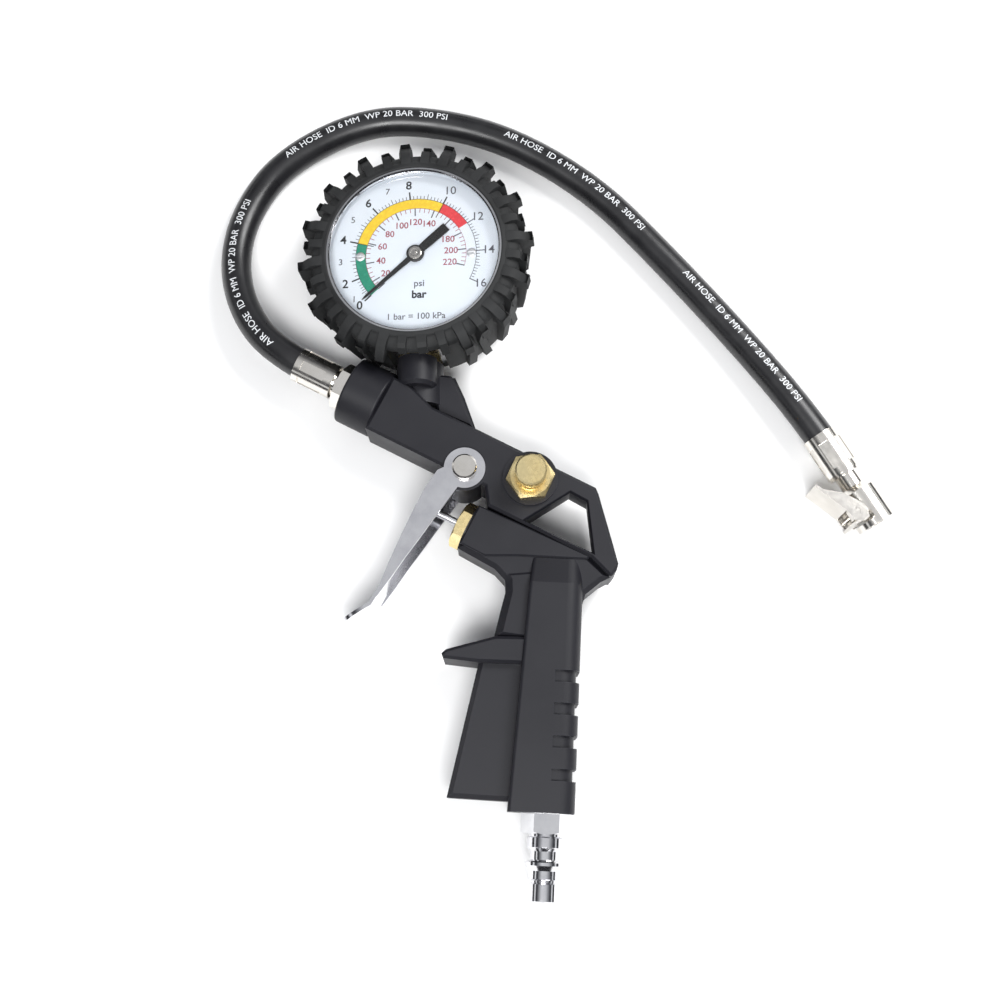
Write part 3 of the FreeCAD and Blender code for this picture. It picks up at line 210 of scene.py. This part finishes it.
def metal(name, colour, dark, roughness, spread, grain):
    """Plated or bare metal: slow tint patches, a finer haze and a faint unevenness of the surface."""
    f = Finish(name, colour, roughness, 1.0)
    patches = f.noise(120.0, 4.0)
    haze = f.noise(900.0, 3.0)
    f.set("Base Color", f.blend(f.range(patches, 0.35, 0.8), colour, dark))
    f.set("Roughness", f.math("ADD", f.range(patches, 0.3, 0.7, roughness - spread, roughness),
                              f.range(haze, 0.3, 0.7, 0.0, spread)))
    f.bump(f.noise(grain, 2.0), 0.10, 0.00003)
    f.bump(f.noise(95.0, 1.5), 0.16, 0.0003)
    return f.material


def dial_paint():
    f = Finish("dial_paint", (0.80, 0.86, 0.93), 0.42)
    f.set("Base Color", f.blend(f.noise(90.0, 2.0), (0.78, 0.85, 0.93), (0.83, 0.88, 0.94)))
    f.bump(f.noise(2200.0, 2.0), 0.05, 0.00002)
    return f.material


def clear_lens():
    """Flat acrylic sheet: it mirrors a little more at a slant and lets the rest through."""
    f = Finish("clear_lens", (1.0, 1.0, 1.0), 0.03)
    through = f.node("ShaderNodeBsdfTransparent")
    mirror = f.node("ShaderNodeBsdfGlossy")
    smear = f.noise(60.0, 3.0)
    f.feed(mirror.inputs["Roughness"], f.range(smear, 0.4, 0.8, 0.02, 0.10))
    slant = f.node("ShaderNodeFresnel")
    slant.inputs["IOR"].default_value = 1.45
    mix = f.node("ShaderNodeMixShader")
    f.feed(mix.inputs[0], slant.outputs[0])
    f.feed(mix.inputs[1], through.outputs[0])
    f.feed(mix.inputs[2], mirror.outputs[0])
    f.feed(f.tree.nodes["Material Output"].inputs["Surface"], mix.outputs[0])
    f.tree.nodes.remove(f.shader)
    return f.material


MATERIALS = {
    "moulded_body": moulded_body(),
    "boot_rubber": rubber("boot_rubber", (0.011, 0.0115, 0.012), 0.66),
    "hose_rubber": hose_rubber(),
    "seal_rubber": rubber("seal_rubber", (0.012, 0.012, 0.012), 0.5),
    "brass": metal("brass", (0.84, 0.70, 0.38), (0.70, 0.55, 0.26), 0.27, 0.08, 1200.0),
    "sintered_bronze": metal("sintered_bronze", (0.50, 0.36, 0.20), (0.36, 0.25, 0.13), 0.55, 0.1, 3000.0),
    "steel": metal("steel", (0.60, 0.60, 0.62), (0.46, 0.46, 0.48), 0.30, 0.08, 1500.0),
    "chrome_steel": metal("chrome_steel", (0.82, 0.82, 0.83), (0.62, 0.62, 0.65), 0.13, 0.05, 500.0),
    "nickel": metal("nickel", (0.82, 0.79, 0.74), (0.66, 0.63, 0.58), 0.18, 0.06, 700.0),
    "lens": clear_lens(),
    "dial": dial_paint(),
    "pointer_black": rubber("pointer_black", (0.010, 0.010, 0.010), 0.45, 2500.0),
}


def dress_nodes():
    """Gives every CAD node the finish of its material slot."""
    for part in frame["record"]["subparts"]:
        node = NODES[part["node"]]
        node.data.materials.clear()
        node.data.materials.append(MATERIALS[part["material_slot"]])
    zinc = metal("zinc_plate", (0.88, 0.89, 0.90), (0.74, 0.75, 0.77), 0.5, 0.1, 2000.0)
    NODES["dial_screws"].data.materials[0] = zinc
    pressed = metal("pressed_chrome", (0.78, 0.78, 0.80), (0.60, 0.60, 0.63), 0.15, 0.06, 700.0)
    NODES["trigger_lever"].data.materials[0] = pressed


# ---- hose -----------------------------------------------------------------------
HOSE_RADIUS = 5.2 * MM
HOSE_ROUTE = [
    (-43.48, 43.98, 14.5), (-62.1, 52.4, 14.5), (-75.4, 67.9, 11.6), (-81.2, 87.6, 8.1), (-78.2, 108.0, 6.0),
    (-66.0, 127.8, 5.5), (-38.8, 144.2, 5.5), (-12.9, 145.2, 5.5), (14.5, 138.8, 5.5), (44.6, 121.5, 5.5),
    (69.0, 97.5, 5.5), (96.0, 68.6, 6.3), (119.7, 40.1, 8.6), (130.0, 24.7, 8.6),
]
CHUCK_NODES = ["chuck_ferrule", "chuck_connector", "chuck_collar", "chuck_body", "chuck_seal",
               "chuck_depressor", "chuck_lever", "chuck_lever_pin", "chuck_spring"]


def add_curve(name, points, bevel=0.0):
    """One smooth open spline through the control points of a route."""
    data = bpy.data.curves.new(name, "CURVE")
    data.dimensions = "3D"
    data.resolution_u = 12
    spline = data.splines.new("NURBS")
    spline.points.add(len(points) - 1)
    for point, (x, y, z) in zip(spline.points, points):
        point.co = (x * MM, y * MM, z * MM, 1.0)
    spline.order_u = 3
    spline.use_endpoint_u = True
    data.bevel_depth = bevel
    data.bevel_resolution = 9
    curve = bpy.data.objects.new(name, data)
    bpy.context.scene.collection.objects.link(curve)
    return curve


def hose():
    made = add_curve("air_hose", HOSE_ROUTE, HOSE_RADIUS)
    made.data.use_fill_caps = True
    made.data.materials.append(MATERIALS["hose_rubber"])
    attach(made, "gun")
    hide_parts("hose")
    on_hose = [NODES[name] for name in ["gun_ferrule"] + CHUCK_NODES] + [hose_print()]


# ---- printing on the hose ---------------------------------------------------------
CAPITAL = 0.69                    # height of a capital of the built-in font at size one


def lettering(text, height, weight=0.0):
    """Flat mesh of a line of text, centred on the origin, its capitals of the given height."""
    data = bpy.data.curves.new("lettering", "FONT")
    data.body = text
    data.size = height / CAPITAL
    data.offset = weight
    data.align_x = "CENTER"
    data.align_y = "CENTER"
    data.resolution_u = 3
    made = bpy.data.objects.new("lettering", data)
    mesh = bpy.data.meshes.new_from_object(made)
    bpy.data.objects.remove(made)
    return mesh


def cut_into_strips(mesh, step_x, step_y):
    """Cuts a flat mesh along a fine grid, so that it can be bent."""
    cut = bmesh.new()
    cut.from_mesh(mesh)
    for axis, step in ((0, step_x), (1, step_y)):
        spread = [vertex.co[axis] for vertex in cut.verts]
        normal = Vector((1.0, 0.0, 0.0)) if axis == 0 else Vector((0.0, 1.0, 0.0))
        for k in range(ceil(min(spread) / step), ceil(max(spread) / step)):
            everything = cut.verts[:] + cut.edges[:] + cut.faces[:]
            bmesh.ops.bisect_plane(cut, geom=everything, plane_co=normal * (k * step), plane_no=normal)
    cut.to_mesh(mesh)
    cut.free()
    return mesh


class Path:
    """Places along the hose's own spline, by the distance from its start."""

    def __init__(self, route):
        plain = add_curve("hose_line", route)
        plain.data.resolution_u = 24
        line = bpy.data.meshes.new_from_object(plain)
        bpy.data.objects.remove(plain)
        self.points = [vertex.co.copy() for vertex in line.vertices]
        self.sums = [0.0]
        for before, after in zip(self.points, self.points[1:]):
            self.sums.append(self.sums[-1] + (after - before).length)

    def at(self, distance):
        k = next((i for i, total in enumerate(self.sums) if total >= distance), len(self.sums) - 1)
        k = max(k, 1)
        share = (distance - self.sums[k - 1]) / (self.sums[k] - self.sums[k - 1])
        return self.points[k - 1].lerp(self.points[k], share)

    def frame(self, distance):
        """Place, and the directions to the left of the run and straight up from it."""
        reach_out = 2.0 * MM
        along = (self.at(distance + reach_out) - self.at(distance - reach_out)).normalized()
        left = Vector((0.0, 0.0, 1.0)).cross(along).normalized()
        return self.at(distance), left, along.cross(left)


PRINT_LINE = "AIR HOSE  ID 6 MM  WP 20 BAR  300 PSI"
PRINT_HEIGHT = 2.4 * MM
PRINT_LIFT = 0.04 * MM
PRINT_TURN = radians(8)          # round the hose, to its outer side
PRINT_COLOUR = (0.62, 0.64, 0.66)
PRINT_GRID = (1.0 * MM, 0.4 * MM)  # along the hose and round it
PRINT_STARTS = (22 * MM, 104 * MM, 186 * MM, 268 * MM)


def hose_print():
    path = Path(HOSE_ROUTE)
    made = bmesh.new()
    for start in PRINT_STARTS:
        mesh = cut_into_strips(lettering(PRINT_LINE, PRINT_HEIGHT), *PRINT_GRID)
        low = min(vertex.co.x for vertex in mesh.vertices)
        radius = HOSE_RADIUS + PRINT_LIFT
        for vertex in mesh.vertices:
            place, left, up = path.frame(start + vertex.co.x - low)
            turn = PRINT_TURN + vertex.co.y / radius
            vertex.co = place + (left * sin(turn) + up * cos(turn)) * radius
        made.from_mesh(mesh)
    piece = add_piece("hose_print", made, ink("hose_ink", PRINT_COLOUR))
    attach(piece, "gun")
    return piece


# ---- pointer cap -------------------------------------------------------------------
CAP_RADIUS = 2.35 * MM
CAP_SIDES = 48
CAP_PROFILE = [(1.0, 0.0), (1.0, 0.55), (0.9, 0.9), (0.62, 0.98), (0.55, 0.8), (0.30, 0.8), (0.24, 1.0)]


def pointer_cap():
    """Turned cap over the pointer's hub, with a ring groove round its middle."""
    top = reach("gauge_pointer", DIAL_ORIGIN, DIAL_AXIS)[1]
    room = reach("gauge_lens", DIAL_ORIGIN, DIAL_AXIS)[0] - top
    made = bmesh.new()
    rings = []
    for out, share in CAP_PROFILE:
        radius, height = out * CAP_RADIUS, top + share * room / 2
        angles = [2 * pi * k / CAP_SIDES for k in range(CAP_SIDES)]
        rings.append([made.verts.new(DIAL_PLACE @ Vector((radius * cos(a), radius * sin(a), height)))
                      for a in angles])
    for low, high in zip(rings, rings[1:]):
        for k in range(CAP_SIDES):
            after = (k + 1) % CAP_SIDES
            made.faces.new([low[k], low[after], high[after], high[k]])
    made.faces.new(rings[-1])
    made.faces.new(list(reversed(rings[0])))
    piece = add_piece("pointer_cap", made, MATERIALS["nickel"])
    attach(piece, "pointer")


# ---- boot -----------------------------------------------------------------------------
BOOT_BACK, BOOT_FRONT, BOOT_REACH = (value / MM for value in reach("rubber_boot", DIAL_ORIGIN, DIAL_AXIS))
CASE_RADIUS = reach("gauge_case", DIAL_ORIGIN, DIAL_AXIS)[2] / MM
BOOT_BASE = CASE_RADIUS + 4.3
BOOT_LIP = CASE_RADIUS - 1.9
STEM_HALF = 8.6                   # half the opening for the gauge's stem
BACK_HOLE = 23.2                  # radius of the hole in the boot's back
CASE_GAP = 0.15                   # between the case and the boot
SHELL_PITCH = radians(1.5)
LUG_COUNT = 32
LUG_HALF = (1.85, 1.6)            # half widths of the tall and the short blocks
LUG_DROP = (0.1, 1.9)             # how far each stays below the boot's reach
LUG_TOP_SHARE = 0.86              # width of a block's top to its foot


def ring_point(radius, angle, height):
    """A place round the gauge, in millimetres and radians, in the frame's metres."""
    return DIAL_PLACE @ Vector((radius * cos(angle) * MM, radius * sin(angle) * MM, height * MM))


def swept(made, profile, start, end):
    """Closed profile of radius and height swept round the gauge; the ends are capped unless they meet."""
    whole = end - start > 2 * pi - SHELL_PITCH
    count = ceil((end - start) / SHELL_PITCH)
    rows = [[made.verts.new(ring_point(r, start + (end - start) * k / count, z)) for r, z in profile]
            for k in range(count if whole else count + 1)]
    for k in range(count):
        low, high = rows[k], rows[(k + 1) % len(rows)]
        for i in range(len(profile)):
            j = (i + 1) % len(profile)
            made.faces.new([low[i], high[i], high[j], low[j]])
    if not whole:
        made.faces.new(rows[0])
        made.faces.new(list(reversed(rows[-1])))


def lug(made, angle, reach_out, half, rows):
    """One tread block: quads between rows of (foot radius, top radius, height, sideways shift)."""
    rings = []
    for foot, top, height, shift in rows:
        middle = angle + shift / BOOT_BASE
        rings.append([made.verts.new(ring_point(radius, middle + side * half / radius, height))
                      for radius, side in ((foot, -1), (min(top, reach_out), -LUG_TOP_SHARE),
                                           (min(top, reach_out), LUG_TOP_SHARE), (foot, 1))])
    for low, high in zip(rings, rings[1:]):
        for i in range(4):
            j = (i + 1) % 4
            made.faces.new([low[i], high[i], high[j], low[j]])
    made.faces.new(list(reversed(rings[0])))
    made.faces.new(rings[-1])


def boot():
    """Tyre-shaped cover: a rounded carcass, deep shoulder blocks and a zigzag of tread down its side."""
    front, back, base = BOOT_FRONT, BOOT_BACK, BOOT_BASE
    made = bmesh.new()
    split = front - 4.9
    gap = asin((STEM_HALF + 0.4) / (base - 2.0))
    inside = CASE_RADIUS + CASE_GAP
    swept(made, [(inside, split), (base - 0.2, split), (base - 0.5, split + 1.4), (base - 1.2, front - 2.6),
                 (base - 2.4, front - 1.9), (base - 3.3, front - 1.5), (BOOT_LIP + 2.3, front - 1.1),
                 (BOOT_LIP + 1.7, front - 0.35), (BOOT_LIP + 0.45, front - 0.02),
                 (BOOT_LIP + 0.05, front - 0.2), (BOOT_LIP + 0.05, front - 0.45), (inside, front - 0.48)],
          0.0, 2 * pi)
    swept(made, [(inside, back + 2.0), (base - 3.0, back + 0.9), (base - 1.2, back + 2.6), (base - 0.2, 1.0),
                 (base - 0.2, split + 0.3), (inside, split + 0.3)],
          -pi / 2 + gap, 3 * pi / 2 - gap)
    swept(made, [(BACK_HOLE, back + 0.02), (base - 3.4, back + 0.02), (base - 3.0, back + 0.9),
                 (CASE_RADIUS - 0.5, back + 0.75), (BACK_HOLE, back + 0.75)], 0.0, 2 * pi)
    for k in range(LUG_COUNT):
        angle = 2 * pi / LUG_COUNT * (k + 0.5)
        top = BOOT_REACH - LUG_DROP[k % 2]
        lean = 1.0 if k % 2 == 0 else -1.0
        away = abs((angle + pi / 2 + pi) % (2 * pi) - pi)
        rows = [(BOOT_LIP + 1.5, base - 1.9, front - 0.25, 0.0), (base - 3.4, base + 0.2, front - 1.1, 0.0),
                (base - 2.0, top - 1.6, front - 3.2, 0.0), (base - 1.0, top - 0.3, front - 5.4, 0.0)]
        if away > gap + 0.07:
            rows += [(base - 1.0, top, front - 8.0, 0.0), (base - 1.0, top - 0.1, 7.5, 0.1 * lean),
                     (base - 1.0, top - 0.5, 3.0, 1.3 * lean), (base - 1.0, top - 1.4, -1.5, 1.3 * lean),
                     (base - 2.0, base + 0.7, back + 3.0, 0.2 * lean),
                     (base - 2.6, base - 1.2, back + 1.3, 0.2 * lean)]
        elif away < gap:
            rows = [(BOOT_LIP + 1.5, base - 1.9, front - 0.25, 0.0),
                    (base - 3.4, base - 0.4, front - 1.1, 0.0), (base - 2.0, base + 0.5, front - 4.6, 0.0)]
        lug(made, angle, top, LUG_HALF[k % 2], rows)
    bmesh.ops.recalc_face_normals(made, faces=made.faces[:])
    piece = add_piece("boot", made, MATERIALS["boot_rubber"])
    rounding = piece.modifiers.new("rounding", "BEVEL")
    rounding.width = 0.3 * MM
    rounding.segments = 2
    rounding.angle_limit = radians(28)
    for face in piece.data.polygons:
        face.use_smooth = True
    piece.modifiers.new("shading", "WEIGHTED_NORMAL").keep_sharp = True
    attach(piece, "gun")
    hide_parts("rubber_boot")


# ---- dial ---------------------------------------------------------------------------
INK_LIFT = 0.05 * MM
FINEST_ARC = radians(2)
BLACK, GREY, ROSE = (0.012, 0.012, 0.015), (0.10, 0.10, 0.12), (0.34, 0.07, 0.10)
GREEN, YELLOW, RED = (0.015, 0.26, 0.16), (0.90, 0.60, 0.03), (0.74, 0.05, 0.06)
BAND = (17.2, 20.5)               # inner and outer radius of the coloured band, in millimetres
LONG_TICK, HALF_TICK, SHORT_TICK, PSI_TICK = 2.9, 2.0, 1.3, 1.6
FINE_LINE = 0.22
NUMBERS_AT, LAST_NUMBERS_AT, PSI_NUMBERS_AT = 25.8, 24.7, 12.0
LAST_NUMBERS = 12                 # from this pressure on, the numbers stand further in
BOLD_NUMBER, LIGHT_NUMBER = (2.9, 0.08), (2.2, 0.02)   # height and weight
BAR_IN_PSI = 14.504
PSI_END = 220
PSI_HIDDEN = 160                  # the pointer's tail covers this one, and the dial leaves it out


def scale_angle(bar):
    """Where the scale shows a pressure: the first two bar are closer together."""
    if bar < 2:
        return radians(223.3 - 2.9 * bar - 3.8 * bar * bar)
    return radians(202.3 - 18.6 * (bar - 2) + 0.16 * (bar - 2) ** 2)


class Print:
    """Ink of one colour on the dial, drawn in millimetres from the dial's middle."""

    def __init__(self, name, colour):
        self.name = name
        self.colour = colour
        self.made = bmesh.new()

    def polygon(self, corners):
        self.made.faces.new([self.made.verts.new((x, y, 0.0)) for x, y in corners])

    def tick(self, bar, inner, outer, width):
        a = scale_angle(bar)
        across = (-sin(a) * width / 2, cos(a) * width / 2)
        low, high = (inner * cos(a), inner * sin(a)), (outer * cos(a), outer * sin(a))
        self.polygon([(low[0] - across[0], low[1] - across[1]), (high[0] - across[0], high[1] - across[1]),
                      (high[0] + across[0], high[1] + across[1]), (low[0] + across[0], low[1] + across[1])])

    def arc(self, start_bar, end_bar, inner, outer):
        a, b = scale_angle(start_bar), scale_angle(end_bar)
        count = ceil(abs(b - a) / FINEST_ARC)
        for k in range(count):
            p, q = a + (b - a) * k / count, a + (b - a) * (k + 1) / count
            self.polygon([(inner * cos(p), inner * sin(p)), (inner * cos(q), inner * sin(q)),
                          (outer * cos(q), outer * sin(q)), (outer * cos(p), outer * sin(p))])

    def write(self, text, x, y, height, weight=0.0):
        mesh = lettering(text, height, weight)
        for vertex in mesh.vertices:
            vertex.co += Vector((x, y, 0.0))
        self.made.from_mesh(mesh)

    def finish(self):
        for vertex in self.made.verts:
            vertex.co = DIAL_PLACE @ Vector((vertex.co.x * MM, vertex.co.y * MM, DIAL_FACE + INK_LIFT))
        bmesh.ops.recalc_face_normals(self.made, faces=self.made.faces[:])
        for face in self.made.faces:
            if face.normal.dot(DIAL_AXIS) < 0:
                face.normal_flip()
        piece = add_piece(self.name, self.made, ink(self.name, self.colour))
        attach(piece, "gun")


def ink(name, colour):
    """Screen-printed ink, a little uneven in depth."""
    f = Finish(name, colour, 0.5)
    thin = tuple(min(1.0, 1.25 * c + 0.01) for c in colour)
    f.set("Base Color", f.blend(f.range(f.noise(900.0, 3.0), 0.45, 0.8), colour, thin))
    f.bump(f.noise(3000.0, 2.0), 0.05, 0.00001)
    return f.material


def dial_print():
    inner, outer = BAND
    for name, colour, start, end in (("dial_green", GREEN, 0.0, 4.0), ("dial_yellow", YELLOW, 4.0, 10.0),
                                     ("dial_red", RED, 10.0, 12.0)):
        band = Print(name, colour)
        band.arc(start, end, inner, outer)
        band.finish()
    black, grey, rose = Print("dial_black", BLACK), Print("dial_grey", GREY), Print("dial_rose", ROSE)
    black.arc(0.0, 16.0, outer, outer + 0.16)
    rose.arc(0.0, PSI_END / BAR_IN_PSI, inner - 0.14, inner)
    for k in range(81):
        bar = k / 5
        if k % 10 == 0:
            (black if bar <= 10 else grey).tick(bar, outer, outer + LONG_TICK, 0.5 if bar <= 10 else 0.36)
        else:
            grey.tick(bar, outer, outer + (HALF_TICK if k % 5 == 0 else SHORT_TICK), FINE_LINE)
    black.tick(4.0, inner - 2.2, outer, 0.3)
    black.tick(10.0, inner - 2.2, outer, 0.3)
    for k in range(45):
        bar = 5 * k / BAR_IN_PSI
        if k % 4 == 0:
            grey.tick(bar, inner - LONG_TICK, inner, 0.42)
        else:
            rose.tick(bar, inner - PSI_TICK, inner, FINE_LINE)
    for bar in (0, 1, 2, 3, 4, 5, 6, 7, 8, 10, 12, 14, 16):
        a = scale_angle(bar)
        even = bar % 2 == 0
        out = NUMBERS_AT if bar < LAST_NUMBERS else LAST_NUMBERS_AT
        height = (BOLD_NUMBER if even else LIGHT_NUMBER)[0]
        pen, weight = (black, BOLD_NUMBER[1]) if even and bar < 10 else (grey, LIGHT_NUMBER[1])
        pen.write(str(bar), out * cos(a), out * sin(a), height, weight)
    for psi in range(20, PSI_END + 1, 20):
        a = scale_angle(psi / BAR_IN_PSI)
        if psi != PSI_HIDDEN:
            rose.write(str(psi), PSI_NUMBERS_AT * cos(a), PSI_NUMBERS_AT * sin(a), 2.2, 0.04)
    grey.write("psi", 1.3, -10.4, 2.3, 0.04)
    black.write("bar", 1.3, -14.4, 2.6, 0.12)
    grey.write("1 bar = 100 kPa", 0.4, -22.2, 2.15, 0.03)
    for made in (black, grey, rose):
        made.finish()


# ---- studio ---------------------------------------------------------------------
def camera():
    data = bpy.data.cameras.new("camera")
    data.lens = 54.0
    data.sensor_width = 36.0
    data.clip_start = 0.01
    made = bpy.data.objects.new("camera", data)
    made.location = (0.021398, -0.103400, 0.503648)
    made.rotation_euler = (radians(12.5), 0.0, radians(2.7))
    bpy.context.scene.collection.objects.link(made)
    bpy.context.scene.camera = made


def softbox(name, place, aim, size, power):
    data = bpy.data.lights.new(name, "AREA")
    data.shape = "RECTANGLE"
    data.size, data.size_y = size
    data.energy = power
    made = bpy.data.objects.new(name, data)
    made.location = place
    made.rotation_euler = (Vector(aim) - Vector(place)).to_track_quat("-Z", "Y").to_euler()
    bpy.context.scene.collection.objects.link(made)


SKY = [                           # share of the way up, and the colour there
    (0.05, (0.02, 0.02, 0.024)), (0.26, (0.03, 0.03, 0.036)),
    (0.31, (1.10, 1.12, 1.15)), (0.43, (1.15, 1.17, 1.20)),
    (0.48, (0.05, 0.05, 0.06)), (0.66, (0.07, 0.072, 0.08)),
    (0.84, (0.40, 0.41, 0.43)), (0.96, (0.80, 0.81, 0.84)),
]
BACKDROP = (1.2, 1.2, 1.2, 1.0)   # what the camera sees past the floor


def sky(tree):
    """Studio ceiling: a bright ring between dark ones, so that polished metal has something to mirror."""
    direction = tree.nodes.new("ShaderNodeTexCoord").outputs["Generated"]
    split = tree.nodes.new("ShaderNodeSeparateXYZ")
    ramp = tree.nodes.new("ShaderNodeValToRGB")
    tree.links.new(direction, split.inputs[0])
    tree.links.new(split.outputs["Z"], ramp.inputs["Fac"])
    stops = ramp.color_ramp.elements
    stops[0].position, stops[0].color = SKY[0][0], (*SKY[0][1], 1.0)
    stops[1].position, stops[1].color = SKY[-1][0], (*SKY[-1][1], 1.0)
    for height, colour in SKY[1:-1]:
        stops.new(height).color = (*colour, 1.0)
    seen = tree.nodes.new("ShaderNodeMix")
    seen.data_type = "RGBA"
    tree.links.new(tree.nodes.new("ShaderNodeLightPath").outputs["Is Camera Ray"], seen.inputs[0])
    tree.links.new(ramp.outputs["Color"], seen.inputs[6])
    seen.inputs[7].default_value = BACKDROP
    tree.links.new(seen.outputs[2], tree.nodes["Background"].inputs["Color"])
    tree.nodes["Background"].inputs["Strength"].default_value = 0.8


def studio():
    scene = bpy.context.scene
    scene.view_settings.view_transform = "Standard"
    world = bpy.data.worlds.new("studio")
    scene.world = world
    world.use_nodes = True
    sky(world.node_tree)
    softbox("key_softbox", (0.62, 0.50, 0.85), (0.02, 0.02, 0.0), (0.55, 0.55), 12.0)
    softbox("fill_softbox", (-0.05, -0.52, 1.0), (0.02, 0.0, 0.0), (0.6, 0.4), 12.0)
    paint = Finish("floor_paint", (0.90, 0.90, 0.90), 0.85)
    paint.bump(paint.noise(300.0, 2.0), 0.02, 0.0001)
    mesh = bpy.data.meshes.new("floor")
    half = 2.5
    corners = [(-half, -half, 0), (half, -half, 0), (half, half, 0), (-half, half, 0)]
    mesh.from_pydata(corners, [], [(0, 1, 2, 3)])
    mesh.materials.append(paint.material)
    floor = bpy.data.objects.new("floor", mesh)
    scene.collection.objects.link(floor)


dress_nodes()
dial_print()
pointer_cap()
boot()
hose()
camera()
studio()
